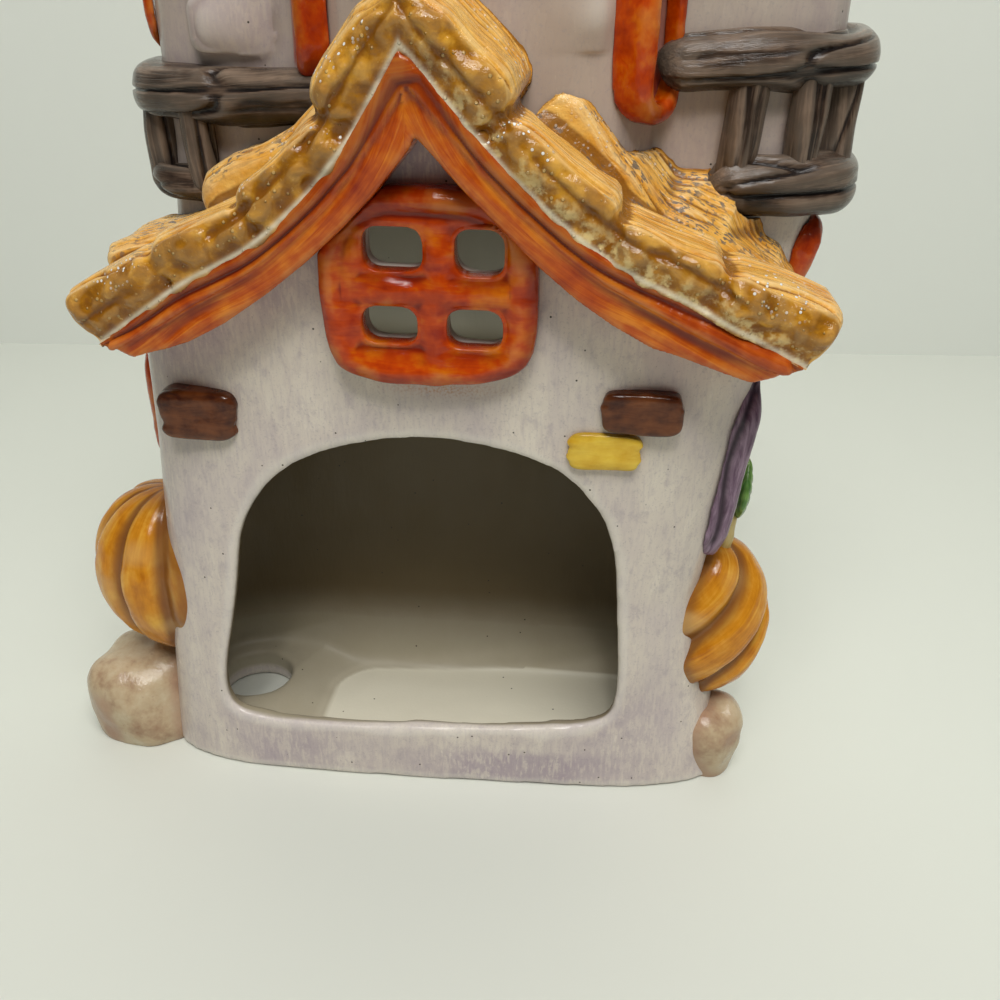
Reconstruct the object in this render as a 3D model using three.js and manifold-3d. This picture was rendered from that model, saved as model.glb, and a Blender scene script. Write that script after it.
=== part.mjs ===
// Ceramic house luminary for one tealight.
// Millimetres, +Z up, origin under the floor slab, the arched candle opening faces -Y.

import * as THREE from 'three';
import { mergeVertices } from 'three/addons/utils/BufferGeometryUtils.js';
import Module from 'manifold-3d';

const wasm = await Module();
wasm.setup();

// Driving dimensions
const CLAY = 4;
const SEAM = 0.3;
const FINEST = 0.02;
const SLAB_TOP = 5;
const STOREY_TOP = 118;
const TOWER_START = 98;
const WALL_TOP = 214;
const ROOF_FRONT = -38;
const BOARD_FRONT = -35.5;
const BOARD_RELIEF = 1.6;
const MOULDING_SHARE = 0.38;
const WALL_FRONT = -25;
const GABLE_BACK = 12;
const FAR = 200;

// Plan bounds of the walls at named heights; skew turns the front and back a little
const LOWER_PLAN = [
  { z: 0, left: -79, right: 76, front: -24.8, back: 28, skew: 0.04 },
  { z: 12, left: -77.5, right: 72.5, front: -24.8, back: 27, skew: 0.04 },
  { z: 28, left: -75.6, right: 67.6, front: -24.8, back: 26.5, skew: 0.04 },
  { z: 58, left: -72.6, right: 63.6, front: WALL_FRONT, back: 26, skew: 0.03 },
  { z: 92, left: -71, right: 67.4, front: WALL_FRONT, back: 27.5, skew: 0.01 },
  { z: STOREY_TOP, left: -70.5, right: 72, front: WALL_FRONT, back: 30.5, skew: 0 },
  { z: 195, left: -70.5, right: 72, front: WALL_FRONT, back: 30.5, skew: 0 },
];
const WING_PLAN = [
  { z: TOWER_START, left: -68, right: 66, front: 2, back: 27 },
  { z: STOREY_TOP, left: -70, right: 73, front: 1, back: 31 },
  { z: 134, left: -69.5, right: 79, front: 0, back: 34 },
  { z: 152, left: -68.5, right: 82, front: 0, back: 37 },
  { z: WALL_TOP, left: -67.5, right: 83, front: 0, back: 41 },
];
const MIDDLE_PLAN = [
  { z: TOWER_START, left: -28, right: 44, front: -14, back: 27 },
  { z: 160, left: -30, right: 46, front: -16, back: 42 },
  { z: WALL_TOP, left: -31, right: 47, front: -16, back: 46 },
];
const LOWER_POWER = 4.2;
const WING_POWER = 3;
const MIDDLE_POWER = 2.2;
const LOWER_SIDES = 32;
const WING_SIDES = 24;
const MIDDLE_SIDES = 20;
const ROOF_SIDES = 24;

// Line under the thatch, from each eave up to the ridge, as x and z
const RIDGE = [-2, 182];
const LEFT_SLOPE = [[-67, 124.9], [-48.2, 137.6], [-31, 147.3], [-15, 162.3], RIDGE];
const RIGHT_SLOPE = [[74.6, 127], [53.5, 137.6], [34.2, 147.2], [15.4, 162.8], RIDGE];
// Lower edge of the bargeboards
const NOTCH = [0.4, 166.8];
const LEFT_BOARD_FOOT = [[-60.5, 122], [-47, 126.3], [-27, 139.4], [-10, 154.6], NOTCH];
const RIGHT_BOARD_FOOT = [[65, 123.2], [43, 130.4], [26.5, 141], [10.6, 155.9], NOTCH];

// Solids and meshes

function solidOf(geometry) {
  const plain = geometry.clone();
  plain.deleteAttribute('normal');
  plain.deleteAttribute('uv');
  const merged = mergeVertices(plain, 1e-4);
  const mesh = new wasm.Mesh({
    numProp: 3,
    vertProperties: new Float32Array(merged.attributes.position.array),
    triVerts: new Uint32Array(merged.index.array),
  });
  return new wasm.Manifold(mesh);
}

function geometryOf(solid) {
  const mesh = solid.simplify(FINEST).getMesh();
  const geometry = new THREE.BufferGeometry();
  geometry.setAttribute('position', new THREE.BufferAttribute(new Float32Array(mesh.vertProperties), 3));
  geometry.setIndex(new THREE.BufferAttribute(new Uint32Array(mesh.triVerts), 1));
  geometry.computeVertexNormals();
  return geometry;
}

function boxBetween(low, high) {
  const size = high.map((value, axis) => value - low[axis]);
  const box = new THREE.BoxGeometry(...size);
  box.translate(...low.map((value, axis) => value + size[axis] / 2));
  return solidOf(box);
}

const above = (z) => boxBetween([-FAR, -FAR, z], [FAR, FAR, 2 * FAR]);
const below = (z) => boxBetween([-FAR, -FAR, -FAR], [FAR, FAR, z]);

// Turns a flat shape in x and z into a solid that runs along Y
function plateAlongY(shape, front, back, bevel = 0, curveSegments = 3, bevelSegments = 1) {
  const geometry = new THREE.ExtrudeGeometry(shape, {
    depth: back - front - 2 * bevel,
    bevelEnabled: bevel > 0,
    bevelThickness: bevel,
    bevelSize: bevel,
    bevelOffset: -bevel,
    bevelSegments,
    curveSegments,
    steps: 1,
  });
  geometry.rotateX(Math.PI / 2);
  geometry.translate(0, back - bevel, 0);
  return solidOf(geometry);
}

// Closed loft through flat convex rings, each a list of [x, y] at one height
function loft(levels) {
  const count = levels[0].ring.length;
  const points = [];
  const faces = [];
  levels.forEach(({ z, ring }) => ring.forEach(([x, y]) => points.push(x, y, z)));
  for (let level = 0; level < levels.length - 1; level += 1) {
    for (let step = 0; step < count; step += 1) {
      const next = (step + 1) % count;
      const a = level * count + step;
      const b = level * count + next;
      faces.push(a, b, b + count, a, b + count, a + count);
    }
  }
  const last = (levels.length - 1) * count;
  for (let step = 1; step < count - 1; step += 1) {
    faces.push(0, step + 1, step);
    faces.push(last, last + step, last + step + 1);
  }
  const geometry = new THREE.BufferGeometry();
  geometry.setAttribute('position', new THREE.Float32BufferAttribute(points, 3));
  geometry.setIndex(faces);
  return solidOf(geometry);
}

// Soft block: a box with rounded or plain sloping edges whose points are then placed by a rule
function softBlock(size, radius, spans, place = (point) => point, rounded = true) {
  const edge = rounded ? [0, 0.3 * radius] : [0];
  const counts = spans.map((span) => span + 2 * edge.length);
  const geometry = new THREE.BoxGeometry(2, 2, 2, ...counts);
  const position = geometry.attributes.position;
  const stations = size.map((length, axis) => {
    const half = length / 2;
    const inner = Array.from(
      { length: spans[axis] + 1 },
      (_, step) => -half + radius + ((length - 2 * radius) * step) / spans[axis],
    );
    const start = edge.map((step) => step - half);
    return [...start, ...inner, ...start.map((value) => -value).reverse()];
  });
  for (let index = 0; index < position.count; index += 1) {
    const raw = [position.getX(index), position.getY(index), position.getZ(index)];
    const point = raw.map((value, axis) => stations[axis][Math.round(((value + 1) / 2) * counts[axis])]);
    const core = point.map((value, axis) => {
      const limit = size[axis] / 2 - radius;
      return Math.max(-limit, Math.min(limit, value));
    });
    const away = new THREE.Vector3(...point.map((value, axis) => value - core[axis]));
    if (rounded && away.length() > 1e-6) away.setLength(radius);
    else away.multiplyScalar(away.manhattanLength() > radius * 1.01 ? 0.6 : 1);
    const placed = place(core.map((value, axis) => value + away.getComponent(axis)));
    position.setXYZ(index, ...placed);
  }
  return solidOf(geometry);
}

// Round bar along a curve
function bar(points, radius, steps, sides = 5) {
  const path = new THREE.CatmullRomCurve3(points.map((point) => new THREE.Vector3(...point)));
  const round = new THREE.Shape();
  round.absarc(0, 0, radius, 0, 2 * Math.PI, false);
  const geometry = new THREE.ExtrudeGeometry(round, { steps, curveSegments: sides, extrudePath: path });
  return solidOf(geometry);
}

// Walls

function boundsAt(plan, z) {
  const upper = Math.max(1, plan.findIndex((key) => key.z >= z));
  const low = plan[upper - 1];
  const high = plan[upper];
  const share = (z - low.z) / (high.z - low.z);
  const mix = (side) => low[side] + (high[side] - low[side]) * share;
  const sides = ['left', 'right', 'front', 'back', 'skew'];
  return Object.fromEntries(sides.map((side) => [side, mix(side)]));
}

function ringPoint(bounds, power, grow, angle) {
  const halfWidth = (bounds.right - bounds.left) / 2 + grow;
  const halfDepth = (bounds.back - bounds.front) / 2 + grow;
  const soft = (value) => Math.sign(value) * Math.abs(value) ** (2 / power);
  const across = halfWidth * soft(Math.cos(angle));
  return [
    (bounds.left + bounds.right) / 2 + across,
    (bounds.front + bounds.back) / 2 + halfDepth * soft(Math.sin(angle)) + (bounds.skew || 0) * across,
  ];
}

function ring(bounds, power, grow, count) {
  return Array.from({ length: count }, (_, step) => (
    ringPoint(bounds, power, grow, (2 * Math.PI * (step + 0.5)) / count)
  ));
}

function planLoft(plan, power, grow, count, top = plan.at(-1).z) {
  const keys = plan.map((key) => ({ z: key.z, ring: ring(key, power, grow, count) }));
  keys.at(-1).z = top;
  return loft(keys);
}

function curveThrough(points, count) {
  const curve = new THREE.CatmullRomCurve3(points.map(([x, z]) => new THREE.Vector3(x, z, 0)));
  return curve.getPoints(count).map((point) => [point.x, point.y]);
}

const LEFT_LINE = curveThrough(LEFT_SLOPE, 10);
const RIGHT_LINE = curveThrough(RIGHT_SLOPE, 10);

// Everything under the roof line, dropped by a given height
function underRoof(drop) {
  const line = [...LEFT_LINE, ...RIGHT_LINE.slice(0, -1).reverse()];
  const shape = new THREE.Shape();
  shape.moveTo(-FAR, -FAR);
  shape.lineTo(-FAR, LEFT_LINE[0][1] - drop);
  line.forEach(([x, z]) => shape.lineTo(x, z - drop));
  shape.lineTo(FAR, RIGHT_LINE[0][1] - drop);
  shape.lineTo(FAR, -FAR);
  return plateAlongY(shape, -FAR, FAR);
}

function lowerBody(grow) {
  const drop = SEAM - 1.35 * grow;
  return planLoft(LOWER_PLAN, LOWER_POWER, grow, LOWER_SIDES).intersect(underRoof(drop));
}

function towerBody(grow, top = WALL_TOP) {
  const wings = planLoft(WING_PLAN, WING_POWER, grow, WING_SIDES, top);
  const middle = planLoft(MIDDLE_PLAN, MIDDLE_POWER, grow, MIDDLE_SIDES, top);
  return wings.add(middle);
}

// Cutters for the openings

function splineShape(points) {
  const shape = new THREE.Shape();
  const outline = new THREE.CatmullRomCurve3(
    points.map(([x, z]) => new THREE.Vector3(x, z, 0)),
    true,
    'centripetal',
  );
  outline.getPoints(points.length * 4).slice(0, -1).forEach((point, index) => {
    if (index === 0) shape.moveTo(point.x, point.y);
    else shape.lineTo(point.x, point.y);
  });
  return shape;
}

function roundedShape(left, low, right, high, radius) {
  const shape = new THREE.Shape();
  shape.absarc(left + radius, low + radius, radius, Math.PI, 1.5 * Math.PI, false);
  shape.absarc(right - radius, low + radius, radius, 1.5 * Math.PI, 2 * Math.PI, false);
  shape.absarc(right - radius, high - radius, radius, 0, 0.5 * Math.PI, false);
  shape.absarc(left + radius, high - radius, radius, 0.5 * Math.PI, Math.PI, false);
  shape.closePath();
  return shape;
}

const ARCH_OUTLINE = [
  [-51, 17.8], [-56, 20.4], [-57.4, 26], [-51.5, 54], [-46, 78], [-33, 93], [-4, 101.2],
  [24, 96.6], [38.5, 82], [43, 56], [44.3, 31], [42.6, 24.4], [37, 21.3], [10, 18.6], [-24, 17],
];

function archCutter() {
  return plateAlongY(splineShape(ARCH_OUTLINE), -60, 0);
}

// The four panes of the gable window, as left, low, right, high
const PANES = [
  [-12.4, 140.4, -0.4, 149.2],
  [6, 140, 15.8, 149.2],
  [-13.2, 125.4, -1.8, 133.2],
  [4.2, 125, 15.6, 133.2],
];
const PANE_CORNER = 2.8;

function panesCutter(grow) {
  return PANES.map(([left, low, right, high]) => (
    plateAlongY(roundedShape(left - grow, low - grow, right + grow, high + grow, PANE_CORNER), -60, -10, 0, 2)
  )).reduce((all, pane) => all.add(pane));
}

// Windows that face another way: where they stand, which way they look and how large they are
const TOWER_LEFT = {
  x: -24.5, y: 2.5, turn: -74, low: 171.5, tall: 34.5, half: 8.5, proud: 7.5, reach: 15, wallCut: 2,
};
const TOWER_RIGHT = { x: 37, y: -1.3, turn: 62, low: 165.5, tall: 38.5, half: 8.5, proud: 9, reach: 15 };
const WING_LEFT = { x: -67.5, y: 21, turn: -90, low: 175.3, tall: 30.7, half: 8.5, proud: 2.4, reach: 8 };
const SIDE_LEFT = { x: -70.5, y: 2, turn: -90, low: 80, tall: 33, half: 9, proud: 4, reach: 8 };
const SIDE_RIGHT = { x: 77, y: 17, turn: 90, low: 116, tall: 29, half: 8.5, proud: 3, reach: 10, lean: 16 };
const FRAME_BAND = 3.8;
const OPENING_REACH = 25;

// Stands a shape drawn in x and z, facing -Y, on the spot and turn of a window
function placeWindow(solid, spot) {
  return solid.rotate([0, 0, spot.turn]).translate([spot.x, spot.y, 0]);
}

function windowOpening(spot, grow = 0, outwards = OPENING_REACH) {
  const side = spot.half - FRAME_BAND + grow;
  const low = spot.low + FRAME_BAND - grow;
  const high = spot.low + spot.tall - FRAME_BAND + grow;
  return placeWindow(plateAlongY(roundedShape(-side, low, side, high, side * 0.9), -outwards, 14, 0, 2), spot);
}

// A leaning frame follows a wall that bulges out with the height
function windowBlock(spot, grow = 0) {
  const middle = spot.low + spot.tall / 2;
  const outline = roundedShape(
    -spot.half - grow,
    spot.low - grow,
    spot.half + grow,
    spot.low + spot.tall + grow,
    (spot.half + grow) * 0.86,
  );
  const block = plateAlongY(outline, -spot.proud - grow, spot.reach, 1.6, 2);
  const leant = block.translate([0, 0, -middle]).rotate([spot.lean ?? 0, 0, 0]).translate([0, 0, middle]);
  return placeWindow(leant, spot);
}

function windowFrame(spot) {
  return windowBlock(spot).subtract(windowOpening(spot)).subtract(SKIN);
}

const FAR_WINDOW = { x: 8, y: 44, turn: 180, low: 150, tall: 36, half: 17, reach: 6 };
const FAR_PANE_GAP = 3;

function farWindowPanes(grow) {
  const middle = FAR_WINDOW.low + FAR_WINDOW.tall / 2;
  const side = FAR_WINDOW.half - FRAME_BAND - 1;
  const rise = FAR_WINDOW.tall / 2 - FRAME_BAND - 1;
  const panes = [[-side, -rise], [FAR_PANE_GAP, -rise], [-side, FAR_PANE_GAP], [FAR_PANE_GAP, FAR_PANE_GAP]];
  return panes.map(([left, low]) => {
    const right = left + side - FAR_PANE_GAP;
    const high = low + rise - FAR_PANE_GAP;
    const shape = roundedShape(
      left - grow,
      middle + low - grow,
      right + grow,
      middle + high + grow,
      PANE_CORNER,
    );
    return placeWindow(plateAlongY(shape, -20, 14, 0, 1), FAR_WINDOW);
  }).reduce((all, pane) => all.add(pane));
}

const TURNED_WINDOWS = [TOWER_LEFT, TOWER_RIGHT, WING_LEFT, SIDE_LEFT, SIDE_RIGHT];

const OUTER = lowerBody(0).add(towerBody(0));
const INNER = lowerBody(-CLAY).add(towerBody(-CLAY, WALL_TOP + 10));
const OPENINGS = TURNED_WINDOWS
  .map((spot) => windowOpening(spot, SEAM, spot.wallCut))
  .reduce((all, cut) => all.add(cut), archCutter())
  .add(panesCutter(SEAM))
  .add(farWindowPanes(SEAM));
const SHELL = OUTER.subtract(INNER).subtract(OPENINGS);
// Skin that pieces luted onto the walls are fitted against
const SKIN = lowerBody(SEAM).add(towerBody(SEAM, WALL_TOP + 3)).intersect(above(-1));

function lowerWalls() {
  return SHELL.intersect(above(SLAB_TOP)).intersect(below(STOREY_TOP));
}

function gableStorey() {
  const near = boxBetween([-FAR, -FAR, STOREY_TOP], [FAR, GABLE_BACK, FAR]);
  return SHELL.intersect(near).subtract(towerBody(SEAM));
}

function towerWalls() {
  return SHELL.intersect(above(STOREY_TOP)).intersect(towerBody(0));
}

// Floor slab with the round hole in its left rear corner
const HOLE = { x: -60, y: 2.5, radius: 10 };

function floorSlab() {
  const keys = [0, SLAB_TOP].map((z) => ({
    z,
    ring: ring(boundsAt(LOWER_PLAN, z), LOWER_POWER, 0, LOWER_SIDES),
  }));
  const hole = new THREE.CylinderGeometry(HOLE.radius, HOLE.radius, 4 * SLAB_TOP, 24);
  hole.rotateX(Math.PI / 2);
  hole.translate(HOLE.x, HOLE.y, 0);
  return loft(keys).subtract(solidOf(hole));
}

// Bargeboards with a slimmer moulding along the top half

function boardShape(upper, lower, share) {
  const top = curveThrough(upper, 9);
  const foot = curveThrough(lower, 9);
  const edge = foot.map(([x, z], step) => [
    top[step][0] + (x - top[step][0]) * share,
    top[step][1] + (z - top[step][1]) * share,
  ]);
  const shape = new THREE.Shape();
  [...top, ...edge.reverse()].forEach(([x, z], index) => {
    if (index === 0) shape.moveTo(x, z);
    else shape.lineTo(x, z);
  });
  shape.closePath();
  return shape;
}

function halfSpace(side) {
  const middle = (RIDGE[0] + NOTCH[0]) / 2;
  return side < 0
    ? boxBetween([-FAR, -FAR, -FAR], [middle - SEAM / 2, FAR, 2 * FAR])
    : boxBetween([middle + SEAM / 2, -FAR, -FAR], [FAR, FAR, 2 * FAR]);
}

function bargeboard(upper, lower, side) {
  const lowered = upper.map(([x, z]) => [x, z - SEAM]);
  return plateAlongY(boardShape(lowered, lower, 1), BOARD_FRONT, 20)
    .subtract(SKIN)
    .intersect(halfSpace(side))
    .intersect(boxBetween([-FAR, -FAR, 0], [FAR, WALL_FRONT + 3, FAR]));
}

function bargeMoulding(upper, lower, side) {
  const lowered = upper.map(([x, z]) => [x, z - SEAM]);
  const front = BOARD_FRONT - BOARD_RELIEF;
  return plateAlongY(boardShape(lowered, lower, MOULDING_SHARE), front, BOARD_FRONT).intersect(halfSpace(side));
}

// Balconies: round rails that follow the end of a wing, with balusters between them
const BALCONY_LEFT = {
  foot: 149, rise: 19, topRadius: 6.4, footRadius: 4.6, from: 254, to: 150, posts: [223, 193, 163],
};
const BALCONY_RIGHT = {
  foot: 152.5, rise: 24.5, topRadius: 6.2, footRadius: 6.8, from: -66, to: 30, posts: [-54, -34, -10],
};
const RAIL_OFFSET = 1;
const topOf = (balcony) => balcony.foot + balcony.rise;
const POST_RADIUS = 4.4;

function wingPoint(degrees, z, grow) {
  const angle = THREE.MathUtils.degToRad(degrees);
  return [...ringPoint(boundsAt(WING_PLAN, z), WING_POWER, grow, angle), z];
}

// The top rail starts at the front of the wing, the floor rail at the first baluster
function railBar(balcony, z, radius) {
  const count = 7;
  const start = z === balcony.foot ? balcony.posts[0] : balcony.from;
  const points = Array.from({ length: count }, (_, step) => (
    wingPoint(start + ((balcony.to - start) * step) / (count - 1), z, RAIL_OFFSET)
  ));
  return bar(points, radius, 10);
}

function postBar(balcony, degrees, radius) {
  const [x0, y0, z0] = wingPoint(degrees, balcony.foot, RAIL_OFFSET);
  const lean = 2 * Math.sign(balcony.to - balcony.from);
  const [x1, y1, z1] = wingPoint(degrees + lean, topOf(balcony), RAIL_OFFSET);
  return bar([[x0, y0, z0], [(x0 + x1) / 2, (y0 + y1) / 2 - 0.6, (z0 + z1) / 2], [x1, y1, z1]], radius, 2);
}

function rail(balcony, z, radius) {
  return railBar(balcony, z, radius).subtract(SKIN).subtract(windowBlock(TOWER_LEFT, SEAM));
}

function baluster(balcony, degrees) {
  return postBar(balcony, degrees, POST_RADIUS)
    .subtract(SKIN)
    .subtract(railBar(balcony, topOf(balcony), balcony.topRadius + SEAM))
    .subtract(railBar(balcony, balcony.foot, balcony.footRadius + SEAM));
}

// Thatch

// Corners of a line under the thatch with the way up out of the roof at each of them
function slopeOf(line) {
  const ways = line.slice(1).map(([x, z], step) => {
    const across = x - line[step][0];
    const rise = z - line[step][1];
    return new THREE.Vector2(-rise, across).multiplyScalar(Math.sign(across)).normalize();
  });
  return line.map(([x, z], step) => {
    const before = ways[Math.max(0, step - 1)];
    const after = ways[Math.min(ways.length - 1, step)];
    return { x, z, up: before.clone().add(after).normalize() };
  });
}

// Point at a share of the way along a slope and a height above it
function onSlope(slope, share, lift) {
  const at = share * (slope.length - 1);
  const step = Math.max(0, Math.min(slope.length - 2, Math.floor(at)));
  const part = at - step;
  const low = slope[step];
  const high = slope[step + 1];
  const up = low.up.clone().lerp(high.up, part).normalize();
  return [
    low.x + (high.x - low.x) * part + up.x * lift,
    low.z + (high.z - low.z) * part + up.y * lift,
  ];
}

const LEFT_ROOF = slopeOf(LEFT_LINE);
const RIGHT_ROOF = slopeOf(RIGHT_LINE);
const APEX = { x: RIDGE[0], z: RIDGE[1], up: new THREE.Vector2(0, 1) };
const RIDGE_ROOF = [...LEFT_ROOF.slice(-3, -1), APEX, ...RIGHT_ROOF.slice(-3, -1).reverse()];
// Shares of the slopes where one course ends and the next begins; the ridge takes the last two tenths
const RIDGE_FOOT = 0.8;
const UPPER_FOOT = 0.51;
const MIDDLE_FOOT = 0.24;
const EAVE_FOOT = -0.02;
const CORNER_FOOT = -0.015;
const CORNER_HEAD = 0.28;
// Height of the straw over the slope, thicker at the eaves
const STRAW = 10;
const EAVE_STRAW = 12;
const COURSE_GAP = 0.005;
const BUNDLE_SPLIT = -16;

// What the thatch is cut back from
const BALCONY_CLEAR = [BALCONY_LEFT, BALCONY_RIGHT].flatMap((balcony) => [
  railBar(balcony, topOf(balcony), balcony.topRadius + SEAM),
  railBar(balcony, balcony.foot, balcony.footRadius + SEAM),
  ...balcony.posts.map((degrees) => postBar(balcony, degrees, POST_RADIUS + SEAM)),
]);
const THATCH_CLEAR = [TOWER_LEFT, TOWER_RIGHT, SIDE_RIGHT]
  .map((spot) => windowBlock(spot, SEAM))
  .concat(BALCONY_CLEAR)
  .reduce((all, solid) => all.add(solid), SKIN);

// Back bundles on the left swell up against the tower: height of the straw at a share of the slope
const mound = (plain, crown, at) => (share) => plain + crown * Math.exp(-(((share - at) / 0.16) ** 2));
// On the right the straw climbs from the front courses to the round middle and then to the wing
const climb = (share, rear) => {
  const crown = Math.exp(-(((share - 0.27) / 0.17) ** 2));
  const middle = THREE.MathUtils.smoothstep(share, 0.32, 0.7);
  return 6.5 + 23 * crown * rear + 9.5 * middle;
};
// The ridge grows taller towards the tower
const ridgeHeight = (share, rear) => STRAW + 6 * rear;

// One course: a soft block bent along the slope, thick at its foot and thinner at its head
function thatchCourse(slope, foot, head, thick, front, back, taper = 0.25, spans = 2) {
  const width = 40;
  const turn = Math.sign(slope.at(-1).x - slope[0].x);
  const place = ([u, y, v]) => {
    const along = u / width + 0.5;
    const share = foot + (head - foot) * along;
    const rear = 0.5 + (turn * y) / (back - front);
    const height = typeof thick === 'function' ? thick(share, rear) : thick * (1 - taper * along);
    const [x, z] = onSlope(slope, share, (v / 10 + 0.5) * height);
    return [x, (front + back) / 2 + turn * y, z];
  };
  return softBlock([width, back - front, 10], 4.6, [spans, 1, 1], place).subtract(THATCH_CLEAR);
}

function thatchBack(slope, foot, height, back, head = RIDGE_FOOT) {
  return thatchCourse(slope, foot, head - COURSE_GAP, height, BUNDLE_SPLIT + SEAM, back, 0, 4);
}

function thatchRidge() {
  return thatchCourse(RIDGE_ROOF, 0, 1, ridgeHeight, ROOF_FRONT, 4, 0, 6);
}

// Bricks

function brick(x, z, width, height, front, lean) {
  const solid = softBlock([width, 8, height], 1.6, [1, 1, 1], undefined, false);
  return solid.rotate([0, lean, 0]).translate([x, front + 4, z]).subtract(SKIN);
}

function towerBrickRight() {
  return brick(26, 186, 15, 9, -14.6, 0).subtract(windowBlock(TOWER_RIGHT, SEAM));
}

// Pumpkins, rocks and leaf

function lumpySphere(across, down, rule) {
  const geometry = new THREE.SphereGeometry(1, across, down);
  geometry.rotateX(Math.PI / 2);
  const position = geometry.attributes.position;
  for (let index = 0; index < position.count; index += 1) {
    const unit = new THREE.Vector3().fromBufferAttribute(position, index);
    position.setXYZ(index, ...rule(unit, Math.atan2(unit.y, unit.x)));
  }
  return solidOf(geometry);
}

const PUMPKIN_SIDES = 40;

function pumpkin(spot) {
  const shape = lumpySphere(PUMPKIN_SIDES, 8, (unit, angle) => {
    const turn = angle + spot.turn + spot.twist * unit.z;
    const rib = 1 - 0.13 * Math.abs(Math.cos((spot.ribs / 2) * turn)) ** 3;
    const flat = unit.z * (1 - 0.08 * (1 - Math.hypot(unit.x, unit.y)));
    return [unit.x * spot.wide * rib, unit.y * spot.deep * rib, flat * spot.tall];
  });
  return shape.translate([spot.x, spot.y, spot.z]);
}

function rock(spot) {
  const shape = lumpySphere(14, 8, (unit) => {
    const lump = 1 + 0.06 * Math.sin(3 * unit.x + 5 * unit.y) + 0.05 * Math.cos(4 * unit.z + 2 * unit.x);
    return [unit.x * spot.wide * lump, unit.y * spot.deep * lump, unit.z * spot.tall * lump];
  });
  return shape.translate([spot.x, spot.y, spot.z]).intersect(above(0));
}

const PUMPKIN_LEFT = {
  x: -73.2, y: -3, z: 50, wide: 24, deep: 20, tall: 25.5, ribs: 10, turn: 0.24, twist: 0,
};
const PUMPKIN_RIGHT = {
  x: 64, y: -1.5, z: 45, wide: 18.5, deep: 15.5, tall: 25, ribs: 5, turn: 0.42, twist: -1.5,
};
const ROCK_LEFT = { x: -86, y: -9, z: 9, wide: 17.5, deep: 15, tall: 20 };
const ROCK_RIGHT = { x: 68.4, y: -7, z: 4, wide: 10.5, deep: 10.5, tall: 17 };

function pumpkinPiece(spot) {
  return pumpkin(spot).subtract(SKIN);
}

function grownPumpkin(spot) {
  const grow = 0.5;
  return pumpkin({ ...spot, wide: spot.wide + grow, deep: spot.deep + grow, tall: spot.tall + grow });
}

function rockPiece(spot, pumpkinSpot) {
  return rock(spot).subtract(SKIN).subtract(grownPumpkin(pumpkinSpot));
}

function leaf() {
  const place = ([u, v, w]) => {
    const share = w / 16 + 0.5;
    const width = 0.25 + 0.95 * Math.sin(Math.PI * (0.12 + 0.84 * share));
    return [u, v * width, w];
  };
  const blade = softBlock([3.2, 8.5, 16], 1.2, [1, 1, 4], place, false);
  return blade.rotate([6, 4, 0]).translate([71, -5, 83.8]).subtract(SKIN);
}

function leafStem() {
  return bar([[66.5, -1, 60], [68.6, -4, 68], [69.2, -5, 74.9]], 1.7, 3, 6)
    .subtract(SKIN)
    .subtract(grownPumpkin(PUMPKIN_RIGHT));
}

function sideShutter() {
  const place = ([u, v, w]) => [u + 0.11 * w, v - 0.05 * w, w];
  return softBlock([7, 11, 47], 1.4, [1, 1, 3], place, false).translate([65.9, -11.8, 93])
    .subtract(SKIN)
    .subtract(grownPumpkin(PUMPKIN_RIGHT));
}

// Roof of the tower: hollow courses set back one above the other, and a closed cap
const ROOF_COURSES = [
  { rise: 16, foot: 6.5, head: -3.5 },
  { rise: 16, foot: -2.4, head: -11 },
  { rise: 15, foot: -9.9, head: -17.5 },
];
const CAP_RISE = 15;
const CAP_FOOT = -16.2;
const ROOF_SHELL = 7;
const ROOF_LIP = 1.4;

function roofPlan(grow) {
  const wings = WING_PLAN.at(-1);
  const pull = -1.9 * Math.min(0, grow);
  return {
    left: wings.left - grow + pull,
    right: wings.right + grow - pull,
    front: -9 - 0.72 * grow,
    back: 46 + 0.72 * grow,
  };
}

const roofRing = (grow) => ring(roofPlan(grow), 2.5, 0, ROOF_SIDES);

// Height at which a course starts, on top of the walls and the courses below it
const courseStart = (index) => (
  ROOF_COURSES.slice(0, index).reduce((height, course) => height + course.rise, WALL_TOP)
);

function roofCourse({ rise, foot, head }, index) {
  const low = courseStart(index);
  const high = low + rise;
  const outside = loft([
    { z: low, ring: roofRing(foot - ROOF_LIP) },
    { z: low + 0.16 * rise, ring: roofRing(foot) },
    { z: low + 0.5 * rise, ring: roofRing(foot + 0.35 * (head - foot)) },
    { z: high, ring: roofRing(head) },
  ]);
  const inside = loft([
    { z: low - 1, ring: roofRing(foot - ROOF_LIP - 1.35 * ROOF_SHELL) },
    { z: high + 1, ring: roofRing(head - ROOF_SHELL) },
  ]);
  return outside.subtract(inside);
}

function roofCap() {
  const low = courseStart(ROOF_COURSES.length);
  const steps = [[0, -ROOF_LIP], [0.2, 0], [0.53, -2.2], [0.8, -5.2], [1, -8]];
  return loft(steps.map(([share, grow]) => (
    { z: low + share * CAP_RISE, ring: roofRing(CAP_FOOT + grow) }
  )));
}

// Windows with four panes

function gableWindow() {
  const outline = splineShape([
    [-19, 119.6], [-22, 135], [-20.4, 150], [-13, 155.4], [0, 157], [13, 155.8],
    [20.6, 150], [22.6, 136], [20.6, 121.4], [12, 117.2], [0, 116.4], [-11, 116.6],
  ]);
  return plateAlongY(outline, -31, -20, 2.2, 3, 2).subtract(panesCutter(0)).subtract(SKIN)
    .subtract(plateAlongY(boardShape(LEFT_SLOPE, LEFT_BOARD_FOOT, 1.03), -60, 0))
    .subtract(plateAlongY(boardShape(RIGHT_SLOPE, RIGHT_BOARD_FOOT, 1.03), -60, 0));
}

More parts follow.
